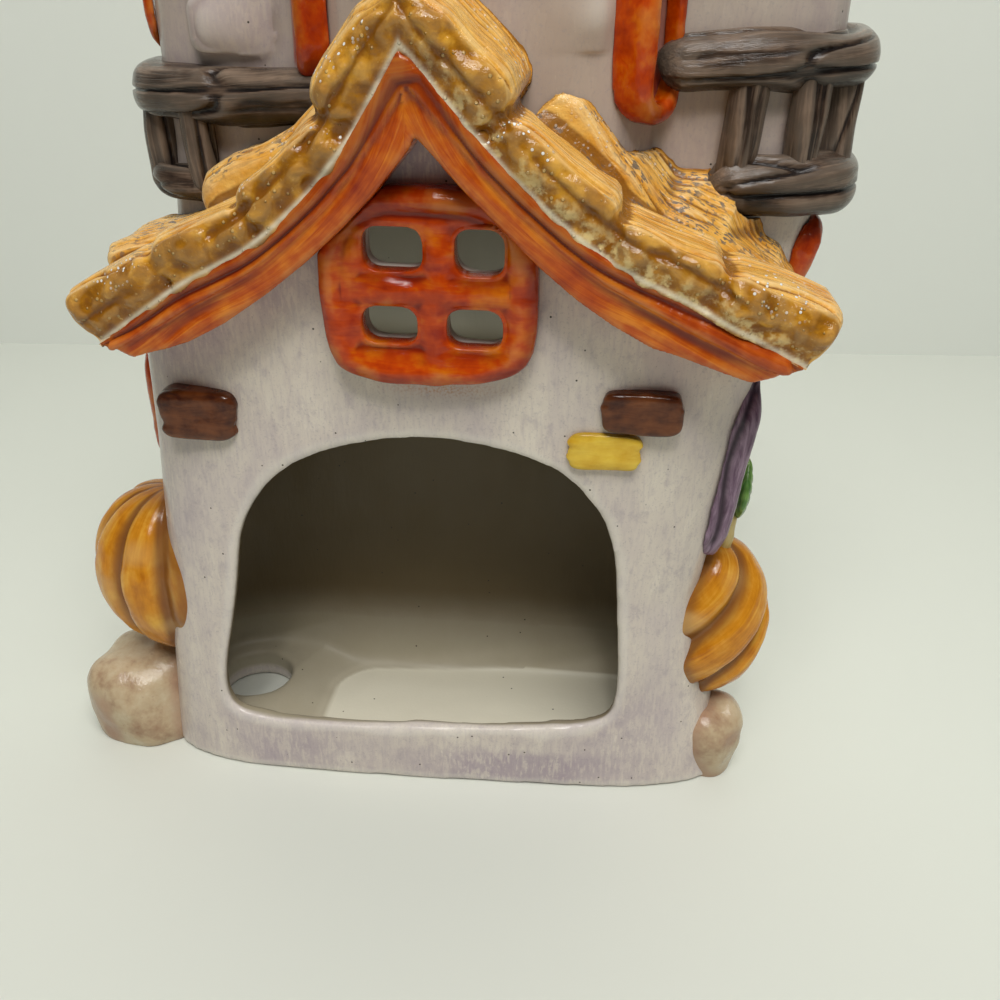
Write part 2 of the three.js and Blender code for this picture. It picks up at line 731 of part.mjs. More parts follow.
function farWindow() {
  const { half, low, tall, reach } = FAR_WINDOW;
  const plate = plateAlongY(roundedShape(-half, low, half, low + tall, 9), -5, reach, 2, 2);
  return placeWindow(plate, FAR_WINDOW).subtract(farWindowPanes(0)).subtract(SKIN);
}

// Door on the far side
const DOOR = { x: -4, low: 9, high: 74, half: 18, face: 30 };
const DOOR_BAND = 5;

function doorShape(half, low, high) {
  const shape = new THREE.Shape();
  shape.moveTo(DOOR.x - half, low);
  shape.lineTo(DOOR.x + half, low);
  shape.lineTo(DOOR.x + half, high - half);
  shape.absarc(DOOR.x, high - half, half, 0, Math.PI, false);
  shape.closePath();
  return shape;
}

function doorSurround() {
  const outside = plateAlongY(doorShape(DOOR.half, DOOR.low, DOOR.high), 20, DOOR.face + 2, 1.2, 7);
  const inside = plateAlongY(doorShape(DOOR.half - DOOR_BAND, 0, DOOR.high - DOOR_BAND), 0, 60, 0, 7);
  return outside.subtract(inside).subtract(SKIN);
}

function doorPanel() {
  const gap = DOOR_BAND + SEAM;
  return plateAlongY(doorShape(DOOR.half - gap, DOOR.low, DOOR.high - gap), 20, DOOR.face, 0, 7)
    .subtract(SKIN);
}

function doorKnob() {
  const knob = new THREE.SphereGeometry(2.2, 10, 6);
  knob.translate(DOOR.x - 8, DOOR.face + 1.4, 38);
  return solidOf(knob).intersect(boxBetween([-FAR, DOOR.face, 0], [FAR, FAR, FAR]));
}

function doorStep() {
  return softBlock([50, 20, 8], 1.8, [2, 1, 1], undefined, false).translate([DOOR.x, 34, 4]).subtract(SKIN);
}

// Colours by kind of glaze
const GLAZE = {
  wash: 0xe4e0ea,
  slab: 0xd9d3c4,
  orange: 0xd9541a,
  amber: 0xd79a3c,
  timber: 0x6f655f,
  brown: 0x6b3a24,
  yellow: 0xe6bb33,
  pumpkin: 0xd98d2b,
  stone: 0xb9a58f,
  green: 0x3f9444,
  straw: 0xd6c46a,
  purple: 0x8f7aa0,
};

const group = new THREE.Group();
group.name = 'ceramic_house_luminary';

function add(name, glaze, solid) {
  const material = new THREE.MeshStandardMaterial({ color: GLAZE[glaze], roughness: 0.3 });
  material.name = `${name}_glaze`;
  const mesh = new THREE.Mesh(geometryOf(solid), material);
  mesh.name = name;
  group.add(mesh);
}

add('floor_slab', 'slab', floorSlab());
add('lower_walls', 'wash', lowerWalls());
add('gable_storey', 'wash', gableStorey());
add('tower_walls', 'wash', towerWalls());

add('gable_window', 'orange', gableWindow());
add('bargeboard_left', 'orange', bargeboard(LEFT_SLOPE, LEFT_BOARD_FOOT, -1));
add('bargeboard_right', 'orange', bargeboard(RIGHT_SLOPE, RIGHT_BOARD_FOOT, 1));
add('barge_moulding_left', 'orange', bargeMoulding(LEFT_SLOPE, LEFT_BOARD_FOOT, -1));
add('barge_moulding_right', 'orange', bargeMoulding(RIGHT_SLOPE, RIGHT_BOARD_FOOT, 1));

add('thatch_ridge', 'amber', thatchRidge());
[['left', LEFT_ROOF], ['right', RIGHT_ROOF]].forEach(([side, slope]) => {
  const course = (foot, head, straw) => (
    thatchCourse(slope, foot, head - COURSE_GAP, straw, ROOF_FRONT, BUNDLE_SPLIT)
  );
  add(`thatch_${side}_upper`, 'amber', course(UPPER_FOOT, RIDGE_FOOT, STRAW));
  add(`thatch_${side}_middle`, 'amber', course(MIDDLE_FOOT, UPPER_FOOT, STRAW));
  add(`thatch_${side}_eave`, 'amber', course(EAVE_FOOT, MIDDLE_FOOT, EAVE_STRAW));
});
add('thatch_left_back', 'amber', thatchBack(LEFT_ROOF, CORNER_HEAD, mound(12, 4, 0.4), 8));
add('thatch_left_corner', 'amber', thatchBack(LEFT_ROOF, CORNER_FOOT, mound(8, 7, 0), 15, CORNER_HEAD));
add('thatch_right_back', 'amber', thatchBack(RIGHT_ROOF, EAVE_FOOT, climb, 15));

add('brick_brown_left', 'brown', brick(-53.6, 104.4, 18.6, 12, -28, 2));
add('brick_brown_right', 'brown', brick(45, 110.8, 18, 10, -28.4, 0));
add('brick_yellow', 'yellow', brick(37.4, 101, 16.6, 9, -27, 0));
add('tower_brick_left', 'wash', brick(-46.5, 182, 17, 11, -1, 0));
add('tower_brick_right', 'wash', towerBrickRight());

add('tower_window_left', 'orange', windowFrame(TOWER_LEFT));
add('tower_window_right', 'orange', windowFrame(TOWER_RIGHT));
add('wing_window_left', 'orange', windowFrame(WING_LEFT));
add('side_window_left', 'orange', windowFrame(SIDE_LEFT));
add('side_window_right', 'orange', windowFrame(SIDE_RIGHT).subtract(
  railBar(BALCONY_RIGHT, BALCONY_RIGHT.foot, BALCONY_RIGHT.footRadius + SEAM),
));

[['left', BALCONY_LEFT], ['right', BALCONY_RIGHT]].forEach(([side, balcony]) => {
  add(`balcony_${side}_rail`, 'timber', rail(balcony, topOf(balcony), balcony.topRadius));
  add(`balcony_${side}_floor`, 'timber', rail(balcony, balcony.foot, balcony.footRadius));
  balcony.posts.forEach((degrees, index) => {
    add(`balcony_${side}_baluster_${index + 1}`, 'timber', baluster(balcony, degrees));
  });
});

add('pumpkin_left', 'pumpkin', pumpkinPiece(PUMPKIN_LEFT));
add('pumpkin_right', 'pumpkin', pumpkinPiece(PUMPKIN_RIGHT));
add('rock_left', 'stone', rockPiece(ROCK_LEFT, PUMPKIN_LEFT));
add('rock_right', 'stone', rockPiece(ROCK_RIGHT, PUMPKIN_RIGHT));
add('leaf', 'green', leaf());
add('leaf_stem', 'straw', leafStem());
add('side_shutter', 'purple', sideShutter());

ROOF_COURSES.forEach((course, index) => {
  add(`tower_roof_course_${index + 1}`, 'amber', roofCourse(course, index));
});
add('tower_roof_cap', 'amber', roofCap());

add('door_surround', 'orange', doorSurround());
add('door_panel', 'purple', doorPanel());
add('door_knob', 'yellow', doorKnob());
add('door_step', 'stone', doorStep());
add('far_window', 'orange', farWindow());

export default group;
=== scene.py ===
import math

import bmesh
import bpy
import numpy as np
from mathutils import Matrix, Vector


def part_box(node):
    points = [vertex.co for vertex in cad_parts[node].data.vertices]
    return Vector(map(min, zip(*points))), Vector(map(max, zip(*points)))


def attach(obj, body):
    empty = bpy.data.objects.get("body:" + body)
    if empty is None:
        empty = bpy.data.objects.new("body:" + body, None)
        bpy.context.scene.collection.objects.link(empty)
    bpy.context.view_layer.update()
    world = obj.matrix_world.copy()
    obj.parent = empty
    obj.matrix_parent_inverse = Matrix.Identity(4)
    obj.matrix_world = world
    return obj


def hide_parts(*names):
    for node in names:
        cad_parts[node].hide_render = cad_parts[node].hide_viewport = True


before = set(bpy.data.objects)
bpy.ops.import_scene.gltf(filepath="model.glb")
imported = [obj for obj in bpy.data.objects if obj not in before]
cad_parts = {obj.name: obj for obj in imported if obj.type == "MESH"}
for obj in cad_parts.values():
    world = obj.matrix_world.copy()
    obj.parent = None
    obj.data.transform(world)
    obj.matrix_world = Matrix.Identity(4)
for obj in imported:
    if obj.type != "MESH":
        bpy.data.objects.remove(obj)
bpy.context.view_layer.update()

MM = 0.001

# Shape of the house, in mm, as in the solids

LOWER_PLAN = [
    {"z": 0, "left": -79, "right": 76, "front": -24.8, "back": 28, "skew": 0.04},
    {"z": 12, "left": -77.5, "right": 72.5, "front": -24.8, "back": 27, "skew": 0.04},
    {"z": 28, "left": -75.6, "right": 67.6, "front": -24.8, "back": 26.5, "skew": 0.04},
    {"z": 58, "left": -72.6, "right": 63.6, "front": -25, "back": 26, "skew": 0.03},
    {"z": 92, "left": -71, "right": 67.4, "front": -25, "back": 27.5, "skew": 0.01},
    {"z": 118, "left": -70.5, "right": 72, "front": -25, "back": 30.5, "skew": 0},
]
WING_PLAN = [
    {"z": 98, "left": -68, "right": 66, "front": 2, "back": 27},
    {"z": 118, "left": -70, "right": 73, "front": 1, "back": 31},
    {"z": 134, "left": -69.5, "right": 79, "front": 0, "back": 34},
    {"z": 152, "left": -68.5, "right": 82, "front": 0, "back": 37},
    {"z": 214, "left": -67.5, "right": 83, "front": 0, "back": 41},
]
MIDDLE_PLAN = [
    {"z": 98, "left": -28, "right": 44, "front": -14, "back": 27},
    {"z": 160, "left": -30, "right": 46, "front": -16, "back": 42},
    {"z": 214, "left": -31, "right": 47, "front": -16, "back": 46},
]
LOWER_POWER = 4.2
WING_POWER = 3
MIDDLE_POWER = 2.2
STOREY_TOP = 118
SLAB_TOP = 5
CLAY_WALL = 4
WALL_FRONT = -25
GABLE_HOLLOW_BACK = -17.5
HOLE = {"x": -60, "y": 2.5, "radius": 10}
# Edges of the flat middle of the chamber floor
FLAT_LEFT = -36
FLAT_BACK = 12
RIDGE = (-2, 182)
NOTCH = (0.4, 166.8)
SLOPES = {
    "left": [(-67, 124.9), (-48.2, 137.6), (-31, 147.3), (-15, 162.3), RIDGE],
    "right": [(74.6, 127), (53.5, 137.6), (34.2, 147.2), (15.4, 162.8), RIDGE],
}
BOARD_FEET = {
    "left": [(-60.5, 122), (-47, 126.3), (-27, 139.4), (-10, 154.6), NOTCH],
    "right": [(65, 123.2), (43, 130.4), (26.5, 141), (10.6, 155.9), NOTCH],
}
ROOF_FRONT = -38
BALCONIES = {
    "left": {
        "foot": 149, "rise": 19, "top_radius": 6.4, "foot_radius": 4.6,
        "start": 254, "end": 150, "posts": [223, 193, 163],
    },
    "right": {
        "foot": 152.5, "rise": 24.5, "top_radius": 6.2, "foot_radius": 6.8,
        "start": -66, "end": 30, "posts": [-54, -34, -10],
    },
}
RAIL_OFFSET = 1
POST_RADIUS = 4.4
# Panes of the gable window: left, low, right, high
PANES = [
    (-12.4, 140.4, -0.4, 149.2), (6, 140, 15.8, 149.2),
    (-13.2, 125.4, -1.8, 133.2), (4.2, 125, 15.6, 133.2),
]
# Windows of the tower's round middle: x, y, turn, and the heights of the opening
TOWER_WINDOWS = [(-24.5, 2.5, -74, 175, 202.5), (37, -1.3, 62, 169, 200.5)]


# Numbers

def noise(points, cell, seed=0):
    """Smooth lattice noise from -1 to 1; cell is the size of its lumps in mm, one number or one per axis"""
    grid = points / np.asarray(cell, float) + 17.3 * seed
    low = np.floor(grid).astype(np.int64)
    part = grid - low
    fade = part * part * (3 - 2 * part)
    total = np.zeros(len(points))
    for corner in range(8):
        step = np.array([(corner >> axis) & 1 for axis in range(3)])
        key = (low + step) @ np.array([73856093, 19349663, 83492791]) + 7919 * seed
        key = (key ^ (key >> 13)) * 1274126177
        value = ((key ^ (key >> 16)) & 0xFFFF) / 32767.5 - 1
        total += value * np.prod(np.where(step == 1, fade, 1 - fade), axis=1)
    return total


def fineness(full):
    return full


def ease(value, low, high):
    """0 below low, 1 above high and smooth between them"""
    share = np.clip((np.asarray(value, float) - low) / (high - low), 0, 1)
    return share * share * (3 - 2 * share)


def bell(value, width):
    """1 where a value is 0, falling off to 0 beyond a width on both sides"""
    return np.exp(-(value / width) ** 2)


def columns(*parts):
    """Points put together from one list of numbers per axis"""
    return np.stack(parts, axis=1)


def curve_through(points, count):
    """Smooth curve through a few flat points"""
    before = 2 * np.array(points[0]) - points[1]
    after = 2 * np.array(points[-1]) - points[-2]
    keys = np.array([before, *points, after], float)
    spots = []
    for at in np.linspace(0, len(points) - 1, count):
        step = min(int(at), len(points) - 2)
        part = at - step
        a, b, c, d = keys[step:step + 4]
        spots.append(0.5 * (2 * b + (c - a) * part + (2 * a - 5 * b + 4 * c - d) * part ** 2
                            + (3 * b - a - 3 * c + d) * part ** 3))
    return np.array(spots)


def plan_point(bounds, power, grow, angle):
    """Point of a rounded plan at an angle, as x and y"""
    across = ((bounds["right"] - bounds["left"]) / 2 + grow) * signed_power(math.cos(angle), 2 / power)
    deep = ((bounds["back"] - bounds["front"]) / 2 + grow) * signed_power(math.sin(angle), 2 / power)
    x = (bounds["left"] + bounds["right"]) / 2 + across
    return x, (bounds["front"] + bounds["back"]) / 2 + deep + bounds["skew"] * across


def signed_power(value, power):
    return math.copysign(abs(value) ** power, value)


def plan_at(plan, z):
    """Bounds of a plan at some heights"""
    levels = [key["z"] for key in plan]
    sides = ("left", "right", "front", "back", "skew")
    return {side: np.interp(z, levels, [key.get(side, 0) for key in plan]) for side in sides}


def depth_under(plan, power, points):
    """How deep points lie under the outside of walls with this plan, measured outwards from their middle"""
    x, y, z = points.T
    bounds = plan_at(plan, z)
    across = x - (bounds["left"] + bounds["right"]) / 2
    deep = y - (bounds["front"] + bounds["back"]) / 2 - bounds["skew"] * across
    wide = (bounds["right"] - bounds["left"]) / 2
    long = (bounds["back"] - bounds["front"]) / 2
    level = (np.abs(across / wide) ** power + np.abs(deep / long) ** power) ** (1 / power)
    return np.hypot(across, deep) * (1 / np.maximum(level, 1e-3) - 1)


def wing_point(degrees, z, grow):
    x, y = plan_point(plan_at(WING_PLAN, z), WING_POWER, grow, math.radians(degrees))
    return np.array([x, y, z])


# Clay

class Clay:
    """A closed mesh that is worked point by point, in mm"""

    def __init__(self, mesh):
        self.mesh = mesh
        flat = np.empty(3 * len(mesh.vertices), np.float32)
        mesh.vertices.foreach_get("co", flat)
        self.points = flat.reshape(-1, 3).astype(float) / MM
        ends = np.empty(2 * len(mesh.edges), np.int32)
        mesh.edges.foreach_get("vertices", ends)
        self.edges = ends.reshape(-1, 2)

    def store(self):
        self.mesh.vertices.foreach_set("co", (self.points * MM).astype(np.float32).ravel())
        self.mesh.update()

    def normals(self):
        self.store()
        flat = np.empty(3 * len(self.mesh.vertices), np.float32)
        self.mesh.vertex_normals.foreach_get("vector", flat)
        return flat.reshape(-1, 3).astype(float)

    def relax(self, rounds, weight=0.5):
        start, end = self.edges[:, 0], self.edges[:, 1]
        size = len(self.points)
        count = np.maximum(np.bincount(self.edges.ravel(), minlength=size), 1)
        for _ in range(rounds):
            for axis in range(3):
                value = self.points[:, axis]
                total = np.bincount(start, value[end], size) + np.bincount(end, value[start], size)
                self.points[:, axis] = value + weight * (total / count - value)

    def push(self, amount):
        self.points += self.normals() * np.asarray(amount)[:, None]

    def hollows(self, rounds):
        """How far each point lies under (above 0) or over (below 0) the mean of its surroundings, in mm"""
        worked = self.points.copy()
        normal = self.normals()
        self.relax(rounds, 0.9)
        depth = ((self.points - worked) * normal).sum(1)
        self.points = worked
        return depth

    def mark(self, name, values):
        values = np.asarray(values, np.float32)
        kind = "FLOAT_VECTOR" if values.ndim == 2 else "FLOAT"
        layer = self.mesh.attributes.get(name) or self.mesh.attributes.new(name, kind, "POINT")
        layer.data.foreach_set("vector" if values.ndim == 2 else "value", values.ravel())

    def place(self, label, material, slot, nodes, sweep=20, depth=0.35):
        """Makes the object that stands for the named solids; glaze pools where its surface is hollow"""
        self.mark("sink", np.clip(self.hollows(sweep) / depth, -1, 1))
        for name in ("groove", "pale"):
            if name not in self.mesh.attributes:
                self.mark(name, np.zeros(len(self.points)))
        self.store()
        self.mesh.materials.clear()
        self.mesh.materials.append(material)
        self.mesh.polygons.foreach_set("use_smooth", [True] * len(self.mesh.polygons))
        piece = bpy.data.objects.new(label, self.mesh)
        bpy.context.scene.collection.objects.link(piece)
        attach(piece, "root")
        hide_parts(*nodes)


def soft_copy(nodes, cell, swell=0.0, extra=()):
    """One closed mesh of even small faces around a few solids, swollen a little so that seams close"""
    build = bmesh.new()
    for name in nodes:
        part = bmesh.new()
        part.from_mesh(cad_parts[name].data)
        bmesh.ops.remove_doubles(part, verts=part.verts, dist=0.01 * MM)
        part.normal_update()
        for vertex in part.verts:
            vertex.co += vertex.normal * swell * MM
        single = bpy.data.meshes.new("single")
        part.to_mesh(single)
        part.free()
        build.from_mesh(single)
        bpy.data.meshes.remove(single)
    for mesh in extra:
        build.from_mesh(mesh)
    joined = bpy.data.meshes.new("joined")
    build.to_mesh(joined)
    build.free()
    holder = bpy.data.objects.new("holder", joined)
    bpy.context.scene.collection.objects.link(holder)
    remesh = holder.modifiers.new("even", "REMESH")
    remesh.mode = "VOXEL"
    remesh.voxel_size = cell * MM
    result = bpy.data.meshes.new_from_object(holder.evaluated_get(bpy.context.evaluated_depsgraph_get()))
    bpy.data.objects.remove(holder)
    bpy.data.meshes.remove(joined)
    for layer in list(result.attributes):
        if not layer.is_required and not layer.is_internal and layer.name != "sharp_face":
            result.attributes.remove(layer)
    return Clay(result)


def softened(node, cell, rounds):
    clay = soft_copy([node], cell)
    clay.relax(rounds)
    return clay


def grid_mesh(rings):
    """Closed mesh through rings of points, each ring one loop, with a point at either end"""
    rings = np.asarray(rings, float)
    count, size = rings.shape[:2]
    points = rings.reshape(-1, 3)
    faces = []
    for ring in range(count - 1):
        for step in range(size):
            after = (step + 1) % size
            a, b = ring * size + step, ring * size + after
            faces.append((a, b, b + size, a + size))
    first, last = len(points), len(points) + 1
    points = np.vstack([points, rings[0].mean(0), rings[-1].mean(0)])
    top = (count - 1) * size
    for step in range(size):
        after = (step + 1) % size
        faces.append((first, after, step))
        faces.append((last, top + step, top + after))
    mesh = bpy.data.meshes.new("grid")
    mesh.from_pydata((points * MM).tolist(), [], faces)
    mesh.update()
    return mesh


def tube(path, radius, side, along, around, inner=None):
    """Round bar along a path with round ends; side points to the bar's first quarter"""
    keys = [tuple(point) for point in path]
    spots = [curve_through([(key[axis], 0) for key in keys], along)[:, 0] for axis in range(3)]
    spots = columns(*spots)
    lengths = np.concatenate([[0], np.cumsum(np.linalg.norm(np.diff(spots, axis=0), axis=1))])
    ways = np.gradient(spots, axis=0)
    ways /= np.linalg.norm(ways, axis=1)[:, None]
    rings = []
    grain = []
    opening = np.linspace(0.12, math.pi / 2, 7)[:-1]
    closing = np.linspace(math.pi / 2, 0.12, 7)[1:]
    stations = [(0, -math.cos(turn), math.sin(turn)) for turn in opening]
    stations += [(index, 0, 1) for index in range(along)]
    stations += [(along - 1, math.cos(turn), math.sin(turn)) for turn in closing]
    turns = np.linspace(0, 2 * math.pi, around, endpoint=False)
    for index, ahead, share in stations:
        way = ways[index]
        first = np.cross(np.cross(way, side(spots[index])), way)
        first /= np.linalg.norm(first)
        second = np.cross(way, first)
        reach = radius(lengths[index] / lengths[-1]) if callable(radius) else radius
        out = np.cos(turns) * reach * share
        if inner is not None:
            out = np.maximum(out, -inner)
        up = np.sin(turns) * reach * share
        center = spots[index] + way * ahead * reach
        rings.append(center + out[:, None] * first + up[:, None] * second)
        length = np.full(around, lengths[index] + ahead * reach)
        grain.append(columns(out, up, length))
    clay = Clay(grid_mesh(rings))
    flat = np.vstack([*grain, grain[0].mean(0), grain[-1].mean(0)])
    return clay, flat


def ball(across, down, rule):
    """Closed round form: rule turns unit points into points in mm"""
    heights = np.linspace(-math.pi / 2, math.pi / 2, down + 2)[1:-1]
    turns = np.linspace(0, 2 * math.pi, across, endpoint=False)
    unit = np.array([[(math.cos(h) * math.cos(t), math.cos(h) * math.sin(t), math.sin(h)) for t in turns]
                     for h in heights])
    clay = Clay(grid_mesh(unit))
    unit = clay.points / np.linalg.norm(clay.points, axis=1)[:, None]
    clay.points = rule(unit)
    return clay


# Glazes

class Glaze:
    """A fired glaze, built from nodes: colours are laid over each other, then it is done"""

    def __init__(self, name, roughness=0.16):
        self.material = bpy.data.materials.new(name)
        self.material.use_nodes = True
        self.tree = self.material.node_tree
        self.shader = self.tree.nodes["Principled BSDF"]
        self.shader.inputs["Roughness"].default_value = roughness
        self.shader.inputs["IOR"].default_value = 1.4
        self.colour = None
        self.bumped = None
        self.place = self.add("ShaderNodeTexCoord").outputs["Object"]

    def add(self, kind, **settings):
        node = self.tree.nodes.new(kind)
        for name, value in settings.items():
            setattr(node, name, value)
        return node

    def feed(self, socket, value):
        if isinstance(value, bpy.types.NodeSocket):
            self.tree.links.new(value, socket)
        else:
            socket.default_value = value

    def mark(self, name):
        return self.add("ShaderNodeAttribute", attribute_name=name).outputs["Fac"]

    def scaled(self, vector, size):
        """A place counted in lumps, whose size has one number per axis, in the unit of the place"""
        node = self.add("ShaderNodeMapping")
        self.feed(node.inputs["Vector"], vector)
        node.inputs["Scale"].default_value = tuple(1 / value for value in size)
        return node.outputs["Vector"]

    def spots(self, size):
        """The place in the house, counted in round lumps of a size in mm"""
        return self.scaled(self.place, (size * MM,) * 3)

    def noise(self, vector, detail, rough, bend=0):
        node = self.add("ShaderNodeTexNoise")
        self.feed(node.inputs["Vector"], vector)
        node.inputs["Scale"].default_value = 1
        node.inputs["Detail"].default_value = detail
        node.inputs["Roughness"].default_value = rough
        node.inputs["Distortion"].default_value = bend
        return node.outputs["Fac"]

    def patches(self, size, *rest):
        return self.noise(self.spots(size), *rest)

    def streaks(self, size, *rest):
        """Noise drawn out along the grain that was marked on the clay, in mm"""
        grain = self.add("ShaderNodeAttribute", attribute_name="grain").outputs["Vector"]
        return self.noise(self.scaled(grain, size), *rest)

    def cells(self, size, output="Distance"):
        node = self.add("ShaderNodeTexVoronoi")
        self.feed(node.inputs["Vector"], self.spots(size))
        node.inputs["Scale"].default_value = 1
        return node.outputs[output]

    def band(self, value, low, high, start=0, end=1):
        """Maps low..high onto start..end and holds it there"""
        node = self.add("ShaderNodeMapRange", interpolation_type="SMOOTHSTEP")
        self.feed(node.inputs["Value"], value)
        node.inputs["From Min"].default_value = low
        node.inputs["From Max"].default_value = high
        node.inputs["To Min"].default_value = start
        node.inputs["To Max"].default_value = end
        return node.outputs["Result"]

    def math(self, operation, a, b):
        node = self.add("ShaderNodeMath", operation=operation, use_clamp=operation == "ADD")
        self.feed(node.inputs[0], a)
        self.feed(node.inputs[1], b)
        return node.outputs[0]

    def sum(self, a, b):
        return self.math("ADD", a, b)

    def times(self, first, *others):
        for other in others:
            first = self.math("MULTIPLY", first, other)
        return first

    def mix(self, share, a, b):
        node = self.add("ShaderNodeMix", data_type="RGBA")
        self.feed(node.inputs[0], share)
        self.feed(node.inputs[6], a if isinstance(a, bpy.types.NodeSocket) else (*a, 1))
        self.feed(node.inputs[7], b if isinstance(b, bpy.types.NodeSocket) else (*b, 1))
        return node.outputs[2]

    def lay(self, share, over, much=1):
        """Lays a colour over the glaze so far, as far as a value or a mark says"""
        share = self.mark(share) if isinstance(share, str) else share
        share = share if much == 1 else self.times(share, much)
        self.colour = self.mix(share, self.colour, over)

    def ramp(self, value, places, *colours):
        node = self.add("ShaderNodeValToRGB")
        self.feed(node.inputs["Fac"], value)
        elements = node.color_ramp.elements
        while len(elements) < len(places):
            elements.new(0.5)
        for element, at, colour in zip(elements, places, colours):
            element.position = at
            element.color = (*colour, 1)
        return node.outputs["Color"]

    def bump(self, height, distance, strength):
        node = self.add("ShaderNodeBump")
        self.feed(node.inputs["Height"], height)
        node.inputs["Distance"].default_value = distance * MM
        node.inputs["Strength"].default_value = strength
        if self.bumped is not None:
            self.feed(node.inputs["Normal"], self.bumped)
        self.bumped = node.outputs["Normal"]

    def done(self):
        self.feed(self.shader.inputs["Base Color"], self.colour)
        self.feed(self.shader.inputs["Normal"], self.bumped)
        return self.material


def darker(colour, share):
    return tuple(share * value for value in colour)


def wall_glaze():
    """Lavender and cream washes outside; cream inside, with painted shade in the chamber and along its
    floor's edge, and painted light on its floor and higher up
    """
    glaze = Glaze("lavender_wash")
    streak = glaze.streaks((0.8, 0.8, 4.5), 4, 0.6, 0.2)
    broad = glaze.streaks((10, 10, 22), 4, 0.55)
    fine = glaze.patches(0.55, 2, 0.6)
    cloud = glaze.streaks((3.5, 3.5, 5), 5, 0.7, 0.3)
    lavenders = (0.61, 0.535, 0.5), (0.69, 0.615, 0.54), (0.76, 0.69, 0.59)
    glaze.colour = glaze.ramp(broad, (0.3, 0.5, 0.7), *lavenders)
    glaze.lay(glaze.band(streak, 0.45, 0.75, 0, 0.36), (0.44, 0.38, 0.41))
    glaze.lay(glaze.band(cloud, 0.5, 0.72, 0, 0.45), (0.4, 0.34, 0.37))
    # painted shade: the upper walls and the tower are darkened towards brown
    glaze.lay("painted_shade_upper", (0.42, 0.33, 0.27))
    glaze.lay(glaze.band(fine, 0.56, 0.72, 0, 0.34), (0.33, 0.3, 0.31))
    glaze.lay("reveal", (0.36, 0.04, 0.004))
    wash = glaze.band(glaze.sum(streak, cloud), 0.8, 1.15, 0.3, 1)
    glaze.lay("stain", (0.3, 0.225, 0.31), glaze.times(wash, 0.8))
    glaze.lay("smear", (0.52, 0.27, 0.13), glaze.times(glaze.band(fine, 0.35, 0.7), 0.8))
    glaze.lay(glaze.band(glaze.mark("sink"), 0.25, 1, 0, 0.5), (0.27, 0.22, 0.19))
    glaze.lay(glaze.band(glaze.mark("sink"), -1, -0.3, 0.35, 0), (0.8, 0.76, 0.68))
    place = glaze.add("ShaderNodeSeparateXYZ")
    glaze.feed(place.inputs["Vector"], glaze.place)
    height = place.outputs["Z"]
    cream = glaze.ramp(glaze.patches(16, 4, 0.6), (0.25, 0.75), (0.56, 0.5, 0.37), (0.66, 0.61, 0.48))
    # painted shade: the chamber's cream turns dark brown from a little above its floor up to about the top of
    # the arch
    painted_shade_chamber = glaze.times(glaze.band(height, 0.003, 0.031), glaze.band(height, 0.104, 0.112, 1, 0), 0.94)
    cream = glaze.mix(painted_shade_chamber, cream, (0.095, 0.06, 0.017))
    # painted light: the flat middle of the chamber floor is painted a lighter cream, as if lit
    cream = glaze.mix(glaze.mark("floor"), cream, (0.84, 0.8, 0.65))
    # painted light: the inside above the chamber, seen through the gable panes, is painted a lighter cream
    cream = glaze.mix(glaze.band(height, 0.106, 0.114), cream, (0.8, 0.77, 0.66))
    # painted shade: darker cream off the flat middle of the floor, with a dark line along its edge
    cream = glaze.mix(glaze.mark("painted_shade_floor_edge"), cream, (0.34, 0.3, 0.21))
    glaze.lay("inside", cream)
    pinholes = glaze.band(glaze.cells(5), 0.035, 0.056, 1, 0)
    glaze.lay(pinholes, (0.05, 0.04, 0.03))
    glaze.bump(glaze.streaks((0.9, 0.9, 5), 4, 0.6), 0.12, 0.5)
    glaze.bump(glaze.patches(6, 2, 0.5), 0.3, 0.35)
    matt = glaze.times(glaze.mark("inside"), 0.22)
    roughness = glaze.sum(glaze.band(broad, 0.3, 0.7, 0.16, 0.3), matt)
    glaze.feed(glaze.shader.inputs["Roughness"], roughness)
    return glaze.done()


